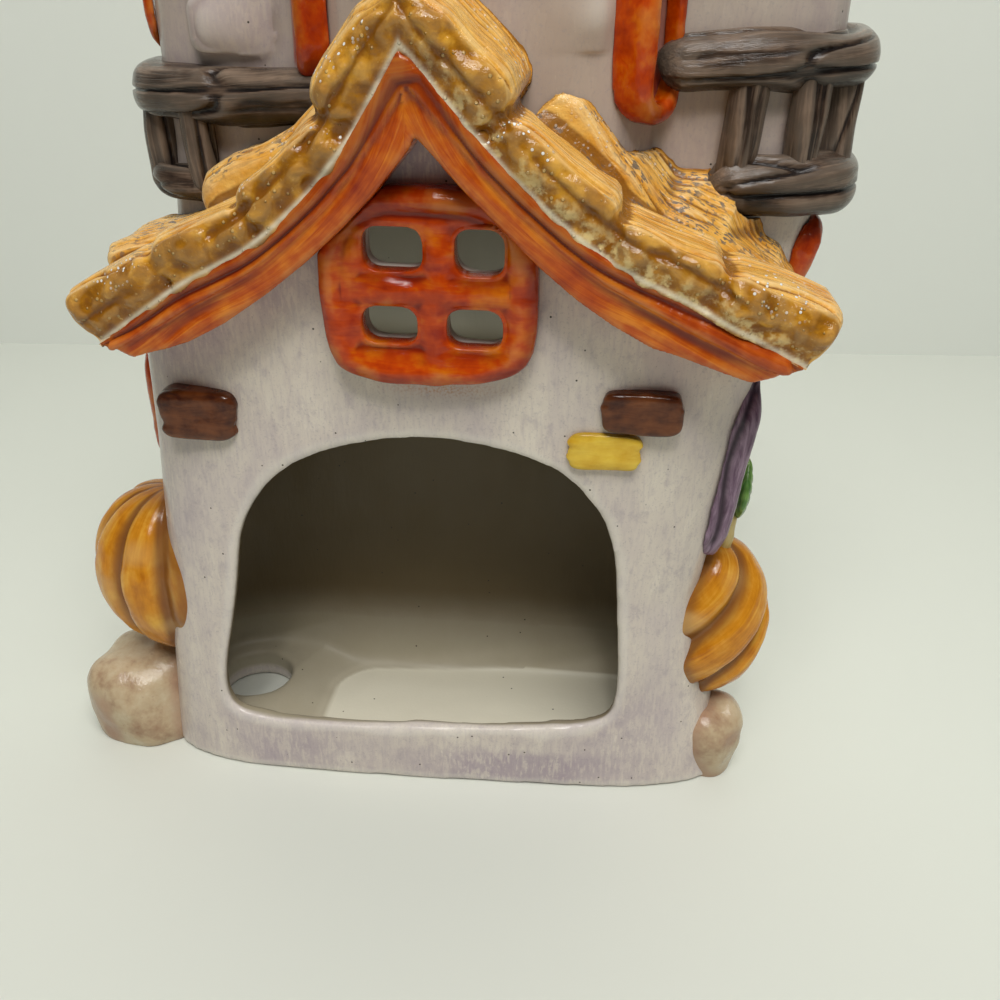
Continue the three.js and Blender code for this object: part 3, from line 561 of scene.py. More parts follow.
def straw_glaze(name):
    """Amber straw with dark lines, and an olive glaze that pools on the lips"""
    glaze = Glaze(name, 0.14)
    strand = glaze.streaks((0.55, 12, 12), 4, 0.65, 0.4)
    mottle = glaze.patches(5.5, 4, 0.55, 0.5)
    straw, lip, sink = glaze.mark("straw"), glaze.mark("lip"), glaze.mark("sink")
    glaze.colour = glaze.ramp(glaze.patches(9, 4, 0.6), (0.3, 0.5, 0.7),
                              (0.62, 0.24, 0.02), (0.8, 0.4, 0.06), (0.88, 0.54, 0.14))
    glaze.lay(glaze.times(glaze.band(strand, 0.5, 0.68), straw), (0.9, 0.6, 0.24))
    glaze.lay(glaze.times(glaze.band(strand, 0.34, 0.47, 1, 0), straw), (0.3, 0.13, 0.03), 0.45)
    glaze.lay(glaze.band(glaze.mark("groove"), 0.15, 0.9, 0, 0.7), (0.36, 0.11, 0.012))
    olive = glaze.ramp(mottle, (0.36, 0.52, 0.68), (0.17, 0.055, 0), (0.34, 0.13, 0.002), (0.66, 0.33, 0.035))
    fine = glaze.patches(1.3, 4, 0.65)
    olive = glaze.mix(glaze.band(fine, 0.62, 0.72, 0, 0.5), olive, (0.76, 0.54, 0.2))
    glaze.lay(lip, olive, 0.9)
    glaze.lay(glaze.times(glaze.mark("groove"), lip), (0.14, 0.045, 0.002), 1.2)
    glaze.lay(glaze.band(sink, 0.1, 0.9, 0, 0.85), (0.22, 0.075, 0.006))
    # painted highlight: raised bumps of the straw are painted paler, less so on the lips
    painted_bump_highlight = glaze.times(glaze.band(sink, -0.9, -0.15, 0.5, 0), glaze.band(lip, 0, 1, 1, 0.25))
    glaze.lay(painted_bump_highlight, (0.84, 0.6, 0.28))
    bubble = glaze.times(glaze.band(glaze.cells(2.1), 0.12, 0.2, 1, 0), lip)
    glaze.lay(bubble, (0.84, 0.66, 0.3), 0.35)
    milk = glaze.times(glaze.mark("pale"), glaze.band(glaze.patches(2.6, 3, 0.6), 0.45, 0.65))
    glaze.lay(milk, (0.8, 0.62, 0.28), 0.8)
    glaze.lay("seam", (0.78, 0.72, 0.56))
    # dark blue-grey flecks on top, laid along the straw, and pale flecks that are partly glitter and partly
    # painted glints
    area = glaze.times(glaze.mark("speck"), glaze.band(glaze.patches(6, 3, 0.55), 0.36, 0.56))
    flake = glaze.band(glaze.streaks((0.5, 1.7, 1.7), 2, 0.5), 0.53, 0.58)
    glaze.lay(glaze.times(flake, area), (0.11, 0.105, 0.1), 0.85)
    pick = glaze.add("ShaderNodeSeparateColor")
    glaze.feed(pick.inputs["Color"], glaze.cells(0.9, "Color"))
    few = glaze.band(pick.outputs[0], 0.7, 0.72)
    glitter_and_glints = glaze.times(glaze.band(glaze.cells(0.9), 0.3, 0.36, 1, 0), few, glaze.mark("glitter_and_glint"))
    glaze.lay(glitter_and_glints, (0.9, 0.9, 0.86))
    glaze.bump(glaze.times(strand, straw), 0.5, 0.8)
    glaze.bump(glaze.patches(2.2, 3, 0.6), 0.5, 0.8)
    glaze.bump(bubble, 0.4, 0.8)
    glaze.bump(glitter_and_glints, 0.3, 1)
    return glaze.done()


def orange_glaze(name, deep, body, light, along, strokes):
    """Red where it pools, orange on the flat and tan where it breaks over an edge"""
    glaze = Glaze(name, 0.13)
    streak = glaze.streaks((1, along, along), 5, 0.62, 0.6)
    patch = glaze.patches(7, 3, 0.55)
    mixed = glaze.sum(glaze.times(streak, strokes), glaze.times(patch, 1 - strokes))
    glaze.colour = glaze.ramp(mixed, (0.33, 0.48, 0.64), deep, body, light)
    sink = glaze.mark("sink")
    glaze.lay(glaze.band(sink, 0.05, 0.8, 0, 0.85), darker(deep, 0.6))
    tan = glaze.times(glaze.band(sink, -1, -0.4, 0.4, 0), glaze.band(patch, 0.42, 0.65, 0.1, 1))
    glaze.lay(tan, (0.58, 0.22, 0.07))
    glaze.lay("groove", darker(deep, 0.55), 0.85)
    glaze.lay("pale", (0.62, 0.5, 0.4), 0.8)
    glaze.bump(streak, 0.22, 0.6)
    glaze.bump(glaze.patches(4, 3, 0.5), 0.35, 0.5)
    return glaze.done()


def timber_glaze():
    glaze = Glaze("balcony_timber", 0.17)
    streak = glaze.streaks((1.5, 1.5, 18), 5, 0.65, 0.5)
    mixed = glaze.sum(glaze.times(streak, 0.65), glaze.times(glaze.patches(10, 3, 0.6), 0.35))
    browns = (0.01, 0.006, 0.004), (0.05, 0.03, 0.02), (0.22, 0.15, 0.105)
    glaze.colour = glaze.ramp(mixed, (0.4, 0.5, 0.64), *browns)
    glaze.lay(glaze.band(glaze.mark("sink"), 0, 0.7, 0, 0.92), (0.016, 0.012, 0.012))
    glaze.lay(glaze.band(glaze.mark("sink"), -0.9, -0.2, 0.35, 0), (0.27, 0.21, 0.16))
    glaze.lay("shade", (0.012, 0.008, 0.006), 0.75)
    glaze.bump(streak, 0.5, 0.8)
    return glaze.done()


def pumpkin_glaze():
    glaze = Glaze("pumpkin_ochre", 0.16)
    streak = glaze.streaks((2.2, 14, 14), 4, 0.6, 0.4)
    mixed = glaze.sum(glaze.times(glaze.patches(8, 4, 0.6, 0.4), 0.5), glaze.times(streak, 0.5))
    ochres = (0.42, 0.125, 0.004), (0.64, 0.25, 0.012), (0.82, 0.44, 0.06)
    glaze.colour = glaze.ramp(mixed, (0.34, 0.5, 0.68), *ochres)
    glaze.lay("groove", (0.2, 0.075, 0.022), 0.9)
    glaze.lay("pale", (0.72, 0.46, 0.18), 0.4)
    glaze.bump(glaze.patches(5, 3, 0.5), 0.4, 0.4)
    glaze.bump(streak, 0.15, 0.5)
    return glaze.done()


def rock_glaze():
    glaze = Glaze("rock_beige", 0.22)
    beiges = (0.33, 0.2, 0.12), (0.5, 0.38, 0.24), (0.6, 0.51, 0.35)
    glaze.colour = glaze.ramp(glaze.patches(9, 4, 0.65), (0.3, 0.48, 0.7), *beiges)
    glaze.lay(glaze.band(glaze.patches(1.6, 3, 0.6), 0.62, 0.75, 0, 0.4), (0.34, 0.21, 0.15))
    glaze.lay("groove", (0.4, 0.24, 0.16), 0.7)
    glaze.bump(glaze.patches(3.5, 4, 0.6), 0.6, 0.5)
    return glaze.done()


def brick_glaze(name, deep, light):
    glaze = Glaze(name, 0.14)
    streak = glaze.streaks((2.2, 9, 9), 4, 0.6, 0.8)
    mixed = glaze.sum(glaze.times(streak, 0.45), glaze.times(glaze.patches(5, 3, 0.55), 0.55))
    glaze.colour = glaze.ramp(mixed, (0.36, 0.64), deep, light)
    glaze.lay("groove", darker(deep, 0.55))
    glaze.bump(streak, 0.3, 0.6)
    glaze.bump(glaze.patches(3, 2, 0.5), 0.3, 0.5)
    return glaze.done()


def plain_glaze(name, deep, light):
    glaze = Glaze(name)
    streak = glaze.streaks((1, 10, 10), 5, 0.65, 0.4)
    glaze.colour = glaze.ramp(streak, (0.35, 0.65), deep, light)
    glaze.lay("groove", darker(deep, 0.35), 0.8)
    glaze.lay("pale", (0.66, 0.6, 0.3))
    glaze.bump(streak, 0.3, 0.6)
    return glaze.done()


# House

def floor_cove():
    """Fillet between the chamber floor and the walls; it stops short of the hole"""
    count = 160
    plan = plan_at(LOWER_PLAN, SLAB_TOP)
    foot, inner, top = [], [], []
    for step in range(count):
        angle = 2 * math.pi * step / count
        x, y = plan_point(plan, LOWER_POWER, -CLAY_WALL - 2, angle)
        gap = math.hypot(x - HOLE["x"], y - HOLE["y"]) - HOLE["radius"]
        size = 1.2 + 6.3 * float(ease(gap, 3, 22)) * float(ease(y, -16, -8))
        at = [plan_point(plan, LOWER_POWER, grow, angle)
              for grow in (-CLAY_WALL + 1.5, -CLAY_WALL - size, -CLAY_WALL + 0.2)]
        foot.append((*at[0], SLAB_TOP - 2))
        inner.append((*at[1], SLAB_TOP - 0.6))
        top.append((*at[2], SLAB_TOP + size * 2.6))
    build = bmesh.new()
    rings = [[build.verts.new(Vector(point) * MM) for point in ring] for ring in (foot, inner, top)]
    for near, far in ((0, 1), (1, 2), (2, 0)):
        for step in range(count):
            after = (step + 1) % count
            build.faces.new((rings[near][step], rings[near][after], rings[far][after], rings[far][step]))
    bmesh.ops.recalc_face_normals(build, faces=build.faces)
    mesh = bpy.data.meshes.new("cove")
    build.to_mesh(mesh)
    build.free()
    return mesh


def height_of(line, x):
    order = np.argsort(line[:, 0])
    return np.interp(x, line[order, 0], line[order, 1])


def in_box(points, node, grow, soft):
    """1 for points in the box around a solid, 0 outside it"""
    low, high = (np.array(corner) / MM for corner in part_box(node))
    off = (np.abs(points - (low + high) / 2) - (high - low) / 2).max(axis=1)
    return ease(-off, -grow - soft, -grow)


def around_window(points, x, y, turn, low, high):
    """1 where the wall is cut through for a window that stands on a spot and looks a way, 0 elsewhere"""
    angle = math.radians(turn)
    off = points[:, :2] - (x, y)
    across = off[:, 0] * math.cos(angle) + off[:, 1] * math.sin(angle)
    outwards = off[:, 0] * math.sin(angle) - off[:, 1] * math.cos(angle)
    height = ease(points[:, 2], low - 0.5, low) * ease(-points[:, 2], -high - 0.5, -high)
    return ease(-np.abs(across), -7.6, -6.6) * height * ease(outwards, -14, -10) * (outwards < 8)


def off_the_flat(points):
    """How far points lie outside the flat middle of the chamber floor; inside the walls' clay it is 0"""
    x, y = points[:, 0], points[:, 1]
    corner = 10
    left = FLAT_LEFT + corner - x
    back = y - (FLAT_BACK + 0.1 * (x - FLAT_LEFT)) + corner
    off = np.hypot(np.maximum(left, 0), np.maximum(back, 0)) - corner
    deep = ease(depth_under(LOWER_PLAN, LOWER_POWER, points), CLAY_WALL - 1, CLAY_WALL + 1)
    return np.maximum(off, 0) * deep


def house_walls(glaze):
    bare_bricks = ["tower_brick_left", "tower_brick_right"]
    nodes = ["floor_slab", "lower_walls", "gable_storey", "tower_walls", *bare_bricks]
    clay = soft_copy(nodes, fineness(0.8), 0.25, [floor_cove()])
    clay.relax(fineness(12))
    bricks = sum(in_box(clay.points, name, 1.5, 1.5) for name in bare_bricks)
    worked = clay.points.copy()
    clay.relax(fineness(120))
    clay.points = worked + (clay.points - worked) * (bricks * (worked[:, 1] < 1))[:, None]
    clay.push(-0.15 + 0.34 * noise(clay.points, (17, 17, 26), 1) + 0.1 * noise(clay.points, (5, 5, 10), 2))
    points = clay.points
    points[:, 2] = np.maximum(points[:, 2], 0)
    edge = off_the_flat(points)
    points[:, 2] += np.minimum(0.3 * edge, 4) * ease(points[:, 2], 0.5, 5) * ease(-points[:, 2], -20, -6)
    x, y, z = points.T
    storey = depth_under(LOWER_PLAN, LOWER_POWER, points)
    wings = depth_under(WING_PLAN, WING_POWER, points)
    tower = np.maximum(wings, depth_under(MIDDLE_PLAN, MIDDLE_POWER, points))
    gable = np.where(y < GABLE_HOLLOW_BACK, np.minimum(y - WALL_FRONT, storey), 0)
    under = np.where(z < STOREY_TOP, storey, np.maximum(tower, gable))
    inside = ease(under, 2.0, 3.4) * (z > SLAB_TOP - 1.5)
    feet = {side: curve_through(line, 41) for side, line in BOARD_FEET.items()}
    below = np.where(x < NOTCH[0], height_of(feet["left"], x), height_of(feet["right"], x)) - z
    on_front = ease(-y, 14, 19)
    stain = bell(below - 1, 8) * on_front
    stain *= (0.7 + 0.7 * noise(points, 9, 5)) * ease(-x, -60, 20)
    stain += 0.9 * ease(z, 155, 160) * on_front
    stain += 0.9 * bell(x - 18, 17) * ease(-z, -13, -8) * (z < 18) * on_front
    stain += 0.3 * ease(-z, -14, -8) * (z < 18)
    stain += 0.55 * ease(noise(points, (30, 30, 36), 8), -0.1, 0.8)
    clay.mark("grain", points)
    clay.mark("inside", inside)
    clay.mark("stain", np.clip(stain, 0, 1))
    # painted light on the flat middle of the chamber floor
    clay.mark("floor", ease(-edge, -0.9, -0.1) * (z < SLAB_TOP + 1.5))
    # painted shade off the flat floor and along its edge, up to 14 mm over the slab
    painted_shade_floor_edge = 0.55 * ease(edge, 0, 4) + 0.3 * bell(edge - 1, 0.9)
    clay.mark("painted_shade_floor_edge", painted_shade_floor_edge * (z < SLAB_TOP + 14))
    clay.mark("smear", np.exp(-((x - 2) / 11) ** 2 - ((z - 114) / 1.8) ** 2) * on_front)
    middle = np.exp(-((x - 7.8) / 26) ** 4) * ease(-y, -6, 0)
    # painted shade on the upper walls above the gable, strongest on the tower's round middle under its roof
    clay.mark("painted_shade_upper", (0.62 + 0.3 * middle) * ease(z, 140, 158) * ease(y, -19, -14))
    clay.mark("reveal", sum(around_window(points, *spot) for spot in TOWER_WINDOWS))
    clay.place("house_walls", glaze, "lavender_wash", nodes)


# Thatch

def straw(clay, strand, facing, depth, spacing):
    """Presses straw lines into the faces that look up and returns how deep each point lies in one"""
    wavy = strand + 2.2 * noise(clay.points, 11, 11) + 0.5 * noise(clay.points, 3.5, 12)
    line = (1 - np.abs(np.sin(math.pi * wavy / spacing))) ** 1.6
    line *= np.clip(0.6 + 0.8 * noise(clay.points, (14, 5, 14), 13), 0, 1.4)
    clay.push(-depth * line * facing)
    return line * facing


def lip_bead(side):
    """Roll of glaze between the front of the thatch and the bargeboard under it"""
    path = [(x, ROOF_FRONT + 1.5, z - 0.4) for x, z in curve_through(SLOPES[side], 12)]
    clay, _ = tube(path, 1.3, lambda point: np.array([0.0, -1.0, 0.0]), 120, 16)
    clay.store()
    return clay.mesh


def over_slope(points):
    """Height of points over the line under the thatch, square to it"""
    rise = np.full(len(points), 1e3)
    for side, line in SLOPES.items():
        curve = curve_through(line, 200)
        way = np.gradient(curve, axis=0)
        way /= np.linalg.norm(way, axis=1)[:, None]
        turn = math.copysign(1, -line[0][0])
        near = nearest_on(curve, points[:, 0], points[:, 2])
        off = points[:, [0, 2]] - curve[near]
        height = turn * (way[near, 0] * off[:, 1] - way[near, 1] * off[:, 0])
        rise = np.where(np.sign(points[:, 0] - RIDGE[0]) == np.sign(line[0][0]), height, rise)
    return rise


def nearest_on(curve, x, z):
    """Index of the nearest point of a curve, in batches"""
    found = [np.argmin((a[:, None] - curve[:, 0]) ** 2 + (b[:, None] - curve[:, 1]) ** 2, axis=1)
             for a, b in zip(np.array_split(x, 40), np.array_split(z, 40))]
    return np.concatenate(found)


def thatch(glaze):
    nodes = [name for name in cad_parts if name.startswith("thatch")]
    swell = 1.1
    clay = soft_copy(nodes, fineness(0.45), swell, [lip_bead("left"), lip_bead("right")])
    clay.relax(fineness(8))
    clay.push(np.full(len(clay.points), 0.25 - swell))
    clay.relax(fineness(3))
    normal = clay.normals()
    x, y, z = clay.points.T
    face = ease(-normal[:, 1], 0.4, 0.8) * ease(-y, 30, 33)
    up = ease(normal[:, 2], 0.05, 0.4) * (1 - face)
    drips = 0.95 * noise(clay.points, (4.5, 9, 4), 22) + 0.45 * noise(clay.points, 2, 23)
    clay.push(0.6 * noise(clay.points, 9, 21) + face * drips)
    groove = straw(clay, y, up, 0.8, 2.7)
    clay.points[:, 1] = np.maximum(clay.points[:, 1], ROOF_FRONT - 0.6)
    rise = over_slope(clay.points)
    furrow = bell(rise - 5 - 1.2 * noise(clay.points, 12, 26), 0.9)
    furrow *= ease(noise(clay.points, 18, 27), -0.6, 0.1) * face
    clay.push(-0.8 * furrow)
    groove = np.maximum(groove, 0.6 * furrow)
    clay.mark("grain", columns(y, x, z))
    clay.mark("straw", up)
    clay.mark("groove", groove)
    clay.mark("lip", face)
    clay.mark("pale", ease(-rise, -6, -1) * face * ease(x, -6, 12))
    clay.mark("seam", 0.8 * bell(rise - 0.1, 0.5) * ease(-y, 34, 36))
    drift = ease(noise(clay.points, 13, 24), -0.25, 0.35)
    clay.mark("speck", up * ease(normal[:, 2], 0.2, 0.6) * np.maximum(ease(y, -24, -12), 0.6 * drift))
    # pale flecks, partly glitter and partly painted glints, gather on the crests that face up
    crest = ease(normal[:, 2], 0.1, 0.45) * ease(-y, 22, 29)
    clay.mark("glitter_and_glint", np.maximum(0.35 * up, crest) * ease(noise(clay.points, 9, 25), 0.1, 0.4))
    clay.place("thatch_lower_roof", glaze, "thatch_amber", nodes, 30, 0.3)


def tower_roof(glaze):
    nodes = [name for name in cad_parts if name.startswith("tower_roof")]
    clay = soft_copy(nodes, fineness(0.7), 0.9)
    clay.relax(fineness(8))
    clay.push(-0.7 + 0.7 * noise(clay.points, (13, 13, 9), 31) + 0.3 * noise(clay.points, 5, 32))
    normal = clay.normals()
    x, y, z = clay.points.T
    strand = 62 * np.arctan2((y - 18.5) / 30, (x - 7.8) / 82)
    up = ease(normal[:, 2], -0.1, 0.35)
    groove = straw(clay, strand, up, 0.8, 2.6)
    clay.mark("grain", columns(strand, z, z))
    clay.mark("straw", up)
    clay.mark("groove", groove)
    clay.mark("lip", ease(-normal[:, 2], -0.25, 0.2) * ease(z, 213, 214))
    clay.mark("seam", np.zeros(len(z)))
    clay.mark("speck", ease(normal[:, 2], 0.2, 0.7) * ease(noise(clay.points, 16, 33), -0.1, 0.4))
    # pale flecks on the straw tops, partly glitter and partly painted glints
    clay.mark("glitter_and_glint", up * ease(noise(clay.points, 12, 34), 0.1, 0.4))
    clay.place("tower_roof", glaze, "tower_roof_amber", nodes, 16, 0.35)


# Boards and windows

def bargeboards(glaze):
    """Dark upper strip, a groove and a wide, swollen lower strip; the two boards are luted at the ridge"""
    nodes = [f"{piece}_{side}" for piece in ("bargeboard", "barge_moulding") for side in ("left", "right")]
    clay = soft_copy(nodes, fineness(0.45), 0.3)
    clay.relax(fineness(10))
    x, y, z = clay.points.T
    down, width, length = (np.zeros(len(x)) for _ in range(3))
    for side in ("left", "right"):
        chosen = (x < RIDGE[0]) == (side == "left")
        top = curve_through(SLOPES[side], 900)
        foot = curve_through(BOARD_FEET[side], 900)
        near = nearest_on((top + foot) / 2, x[chosen], z[chosen])
        way = foot[near] - top[near]
        width[chosen] = np.linalg.norm(way, axis=1)
        off = columns(x[chosen], z[chosen]) - top[near]
        down[chosen] = (off * way).sum(1) / width[chosen] ** 2
        length[chosen] = near * 0.105
    front = ease(-clay.normals()[:, 1], 0.2, 0.8)
    line = 0.2 + 0.0023 * length
    trench = bell(down - line, 0.07)
    bulge = np.sin(np.clip((down - line) / (1 - line), 0, 1) * math.pi) ** 0.6
    grain = columns(down * width, length, y * 0.4)
    ripple = noise(grain, (1.5, 24, 24), 41)
    clay.push(front * (-0.9 * trench + 0.45 * bulge + 0.3 * ripple + 0.25 * noise(clay.points, 7, 42)))
    clay.mark("grain", grain)
    clay.mark("groove", np.clip(0.7 * front * trench + 0.45 * ease(line - down, -0.03, 0.05), 0, 1))
    clay.mark("pale", ease(-down, -0.01, 0.03) * front)
    clay.place("bargeboards", glaze, "barge_orange", nodes)


def gable_window(glaze):
    clay = softened("gable_window", fineness(0.42), fineness(9))
    x, y, z = clay.points.T
    reach = ((np.abs(x) / 21.5) ** 4 + (np.abs(z - 136.8) / 19.8) ** 4) ** 0.25
    front = ease(-clay.normals()[:, 1], 0.3, 0.8)
    rim = bell(reach - 0.88, 0.08)
    trench = bell(reach - 0.75, 0.05) * ease(z, 140, 150)
    sill = np.zeros(len(x))
    bevel = np.zeros(len(x))
    for left, low, right, high in PANES:
        across = np.maximum(left - x, x - right)
        sill = np.maximum(sill, ease(-across, -3, 3) * bell(z - low + 1.2, 1.3))
        bevel = np.maximum(bevel, ease(-np.maximum(across, np.maximum(low - z, z - high)), -2.2, 0))
    bars = bell(x - 2.2, 2.2) + bell(z - 136.6, 2) * (np.abs(x) < 17)
    clay.push(front * (0.7 * rim - 0.7 * trench + 0.4 * np.clip(bars, 0, 1) - 0.6 * sill - 0.5 * bevel
                       + 0.55 * noise(clay.points, 6, 51) + 0.25 * noise(clay.points, (5, 5, 2), 52)))
    clay.mark("grain", columns(z * 0.6, x * 0.3, y))
    edge = 0.5 * ease(reach, 0.9, 1.0) + 0.4 * ease(reach, 0.74, 0.8) * ease(z, 146, 150)
    clay.mark("groove", np.clip(0.5 * front * trench + 0.75 * ease(y, -29.8, -27) + 0.7 * sill + edge, 0, 1))
    clay.place("gable_window_frame", glaze, "window_orange", ["gable_window"], 26, 0.4)


def side_windows(glaze):
    for node in ("tower_window_left", "tower_window_right", "wing_window_left", "side_window_left",
                 "side_window_right", "far_window"):
        clay = softened(node, fineness(0.5), fineness(9))
        clay.push(0.15 + 0.35 * noise(clay.points, 7, 61) + 0.12 * noise(clay.points, 2.5, 62))
        x, y, z = clay.points.T
        low, high = (np.array(corner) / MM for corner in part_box(node))
        middle = (low + high) / 2
        flat = np.hypot(x - middle[0], y - middle[1])
        groove = ease(-flat, -5.5, -1.5) if node.startswith("tower_window") else np.zeros(len(x))
        clay.mark("grain", columns(x * 0.6, y * 0.6, z))
        clay.mark("groove", 0.8 * groove)
        clay.place(f"{node}_frame", glaze, "window_orange", [node], 26, 0.4)


# Balconies

def outwards(point):
    """Level way from the tower's middle to a point of a balcony"""
    return point * (1, 1, 0) - (6, 18, 0)


def balconies(glaze):
    for side, balcony in BALCONIES.items():
        turn = math.copysign(1, balcony["end"] - balcony["start"])
        heights = {"rail": balcony["foot"] + balcony["rise"], "floor": balcony["foot"]}
        starts = {"rail": balcony["start"], "floor": balcony["posts"][0] + turn}
        sizes = {"rail": balcony["top_radius"], "floor": balcony["foot_radius"]}
        for part, z in heights.items():
            angles = np.linspace(starts[part], balcony["end"], 9)
            path = [wing_point(angle, z, RAIL_OFFSET) for angle in angles]
            size = sizes[part] - 0.35
            clay, grain = tube(path, size, outwards, fineness(170), fineness(84), 3.4)
            carve_timber(clay, grain, 70 + len(part))
            clay.place(f"balcony_{side}_{part}_timber", glaze, "balcony_timber", [f"balcony_{side}_{part}"])
        for index, degrees in enumerate(balcony["posts"]):
            foot = wing_point(degrees, heights["floor"], RAIL_OFFSET)
            head = wing_point(degrees + 2 * turn, heights["rail"], RAIL_OFFSET)
            bend = (foot + head) / 2 + (0, -0.6, 0)
            along, around = fineness(60), fineness(60)
            clay, grain = tube([foot, bend, head], POST_RADIUS - 0.2, outwards, along, around, 3.4)
            carve_timber(clay, grain, 80 + index, 0.5)
            node = f"balcony_{side}_baluster_{index + 1}"
            clay.place(f"{node}_timber", glaze, "balcony_timber", [node])


def carve_timber(clay, grain, seed, depth=1.0):
    """Presses uneven wood grain along a bar"""
    twist = grain.copy()
    turn = 0.012 * grain[:, 2]
    twist[:, 0] = grain[:, 0] * np.cos(turn) - grain[:, 1] * np.sin(turn)
    twist[:, 1] = grain[:, 0] * np.sin(turn) + grain[:, 1] * np.cos(turn)
    coarse = noise(twist, (4.6, 4.6, 30), seed)
    fine = noise(twist, (1.5, 1.5, 22), seed + 1)
    split = bell(noise(twist, (4, 4, 34), seed + 2), 0.1)
    clay.push(depth * (0.9 * coarse + 0.12 * fine - 1.3 * split + 0.7 * noise(clay.points, 8, seed + 3)))
    clay.mark("grain", twist)
    clay.mark("shade", np.maximum(ease(-clay.normals()[:, 2], 0.1, 0.7), 0.5 * split))


# Pumpkins, rocks, leaf

PUMPKIN_LEFT = {
    "x": -73.2, "y": -3, "z": 50, "wide": 24, "deep": 20, "tall": 25.5,
    "ribs": 10, "turn": 0.24, "twist": 0, "valley": 0.1,
}
PUMPKIN_RIGHT = {
    "x": 64, "y": -1.5, "z": 45, "wide": 18.5, "deep": 15.5, "tall": 25,
    "ribs": 5, "turn": 0.42, "twist": -1.5, "valley": 0.15,
}
ROCK_LEFT = {"x": -87.4, "y": -8.5, "z": 8, "wide": 15.2, "deep": 14.5, "tall": 17.5, "foot": 1}
ROCK_RIGHT = {"x": 71.4, "y": -7, "z": 4.5, "wide": 8.8, "deep": 10.8, "tall": 17.5, "foot": 0.76}


def pumpkin(glaze, node, spot):
    facts = {}

    def rule(unit):
        x, y, z = unit.T
        angle = np.arctan2(y, x) + spot["turn"] + spot["twist"] * z
        valley = np.abs(np.cos(spot["ribs"] / 2 * angle)) ** 5
        crease = (1 - np.abs(np.sin(spot["ribs"] / 2 * angle))) ** 3
        rib = 1.01 - spot["valley"] * valley - 0.04 * crease
        flat = z * (1 - 0.08 * (1 - np.hypot(x, y)))
        facts["groove"] = ease(valley, 0.25, 1.0) * 0.75 + 0.35 * crease
        facts["grain"] = columns(angle * 18, z * spot["tall"], np.zeros(len(z)))
        return columns(x * spot["wide"] * rib + spot["x"], y * spot["deep"] * rib + spot["y"],
                       flat * spot["tall"] + spot["z"])

    clay = ball(fineness(240), fineness(120), rule)
    clay.push(0.3 * noise(clay.points, 8, 91) + 0.12 * noise(clay.points, 3, 92))
    keep_out_of_chamber(clay)
    ends = ease(np.abs(clay.points[:, 2] - spot["z"]), 0.72 * spot["tall"], spot["tall"])
    clay.mark("grain", facts["grain"])
    clay.mark("groove", np.clip(facts["groove"] + 0.55 * ends + 0.8 * at_the_wall(clay.points), 0, 1))
    clay.mark("pale", ease(noise(clay.points, 10, 93), 0.3, 0.8))
    clay.place(f"{node}_ribbed", glaze, "pumpkin_ochre", [node])


def at_the_wall(points):
    """1 along the line where a piece runs into the lower walls, 0 a few mm away"""
    return bell(np.minimum(depth_under(LOWER_PLAN, LOWER_POWER, points) + 0.6, 0), 1.8)


def rock(glaze, node, spot):
    def rule(unit):
        block = unit / ((np.abs(unit) ** 2.8).sum(1) ** (1 / 2.8))[:, None]
        x, y, z = unit.T
        lump = 0.97 + 0.05 * np.sin(3 * x + 5 * y) + 0.04 * np.cos(4 * z + 2 * x)
        size = np.array([spot["wide"], spot["deep"], spot["tall"]])
        return block * size * lump[:, None] + (spot["x"], spot["y"], spot["z"])

    clay = ball(fineness(120), fineness(80), rule)
    clay.push(0.6 * noise(clay.points, 9, 95) + 0.35 * noise(clay.points, 4, 96))
    clay.points[:, 2] = np.maximum(clay.points[:, 2], 0)
    narrow = spot["foot"] + (1 - spot["foot"]) * ease(clay.points[:, 2], 0, 16)
    wall = np.array([math.copysign(66.5, spot["x"]), -4])
    clay.points[:, :2] = wall + (clay.points[:, :2] - wall) * narrow[:, None]
    keep_out_of_chamber(clay)
    dents = ease(-noise(clay.points, 9, 95), 0.3, 0.8)
    clay.mark("groove", np.maximum(dents, 0.9 * at_the_wall(clay.points)))
    clay.place(f"{node}_stone", glaze, "rock_beige", [node])


def keep_out_of_chamber(clay):
    """Holds what is sunk into a side wall inside the wall's clay"""
    points = clay.points
    side = np.where(points[:, 0] < 0, -1, 1)
    points[:, 0] = np.where(side < 0, np.minimum(points[:, 0], -61), np.maximum(points[:, 0], 56))
    for _ in range(12):
        deep = depth_under(LOWER_PLAN, LOWER_POWER, points)
        points[:, 0] += side * np.maximum(deep - 2, 0)


def leaf(glaze, stem_glaze):
    low, high = (np.array(corner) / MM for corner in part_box("leaf"))
    middle = (low + high) / 2
    half = (high - low) / 2
    facts = {}

    def rule(unit):
        x, y, z = unit.T
        share = (z + 1) / 2
        width = 0.2 + 0.9 * np.sin(math.pi * (0.1 + 0.86 * share))
        vein = bell(y, 0.16)
        side_vein = np.abs(np.sin(5 * math.pi * (share - 0.35 * np.abs(y)))) ** 4
        thick = 1.9 * (1 - 0.3 * vein - 0.12 * side_vein)
        facts["groove"] = np.clip(0.4 * side_vein, 0, 1)
        facts["pale"] = 0.8 * vein
        facts["grain"] = columns(y * 4, z * 8, np.zeros(len(z)))
        return columns(middle[0] + x * thick + 0.4 * z, middle[1] + y * half[1] * 0.95 * width,
                       middle[2] + z * half[2])

    clay = ball(96, 64, rule)
    for name, values in facts.items():
        clay.mark(name, values)
    clay.place("leaf_blade", glaze, "leaf_green", ["leaf"])
    path = [(66.5, -1, 60), (68.6, -4, 68), (69.2, -5, 75.6)]
    clay, grain = tube(path, lambda share: 2.0 - 0.6 * share, lambda point: np.array([1.0, -0.3, 0]), 30, 24)
    clay.push(0.15 * noise(clay.points, 2.5, 97))
    clay.mark("grain", grain)
    clay.place("leaf_stalk", stem_glaze, "stem_straw", ["leaf_stem"])


# Bricks, shutter, door

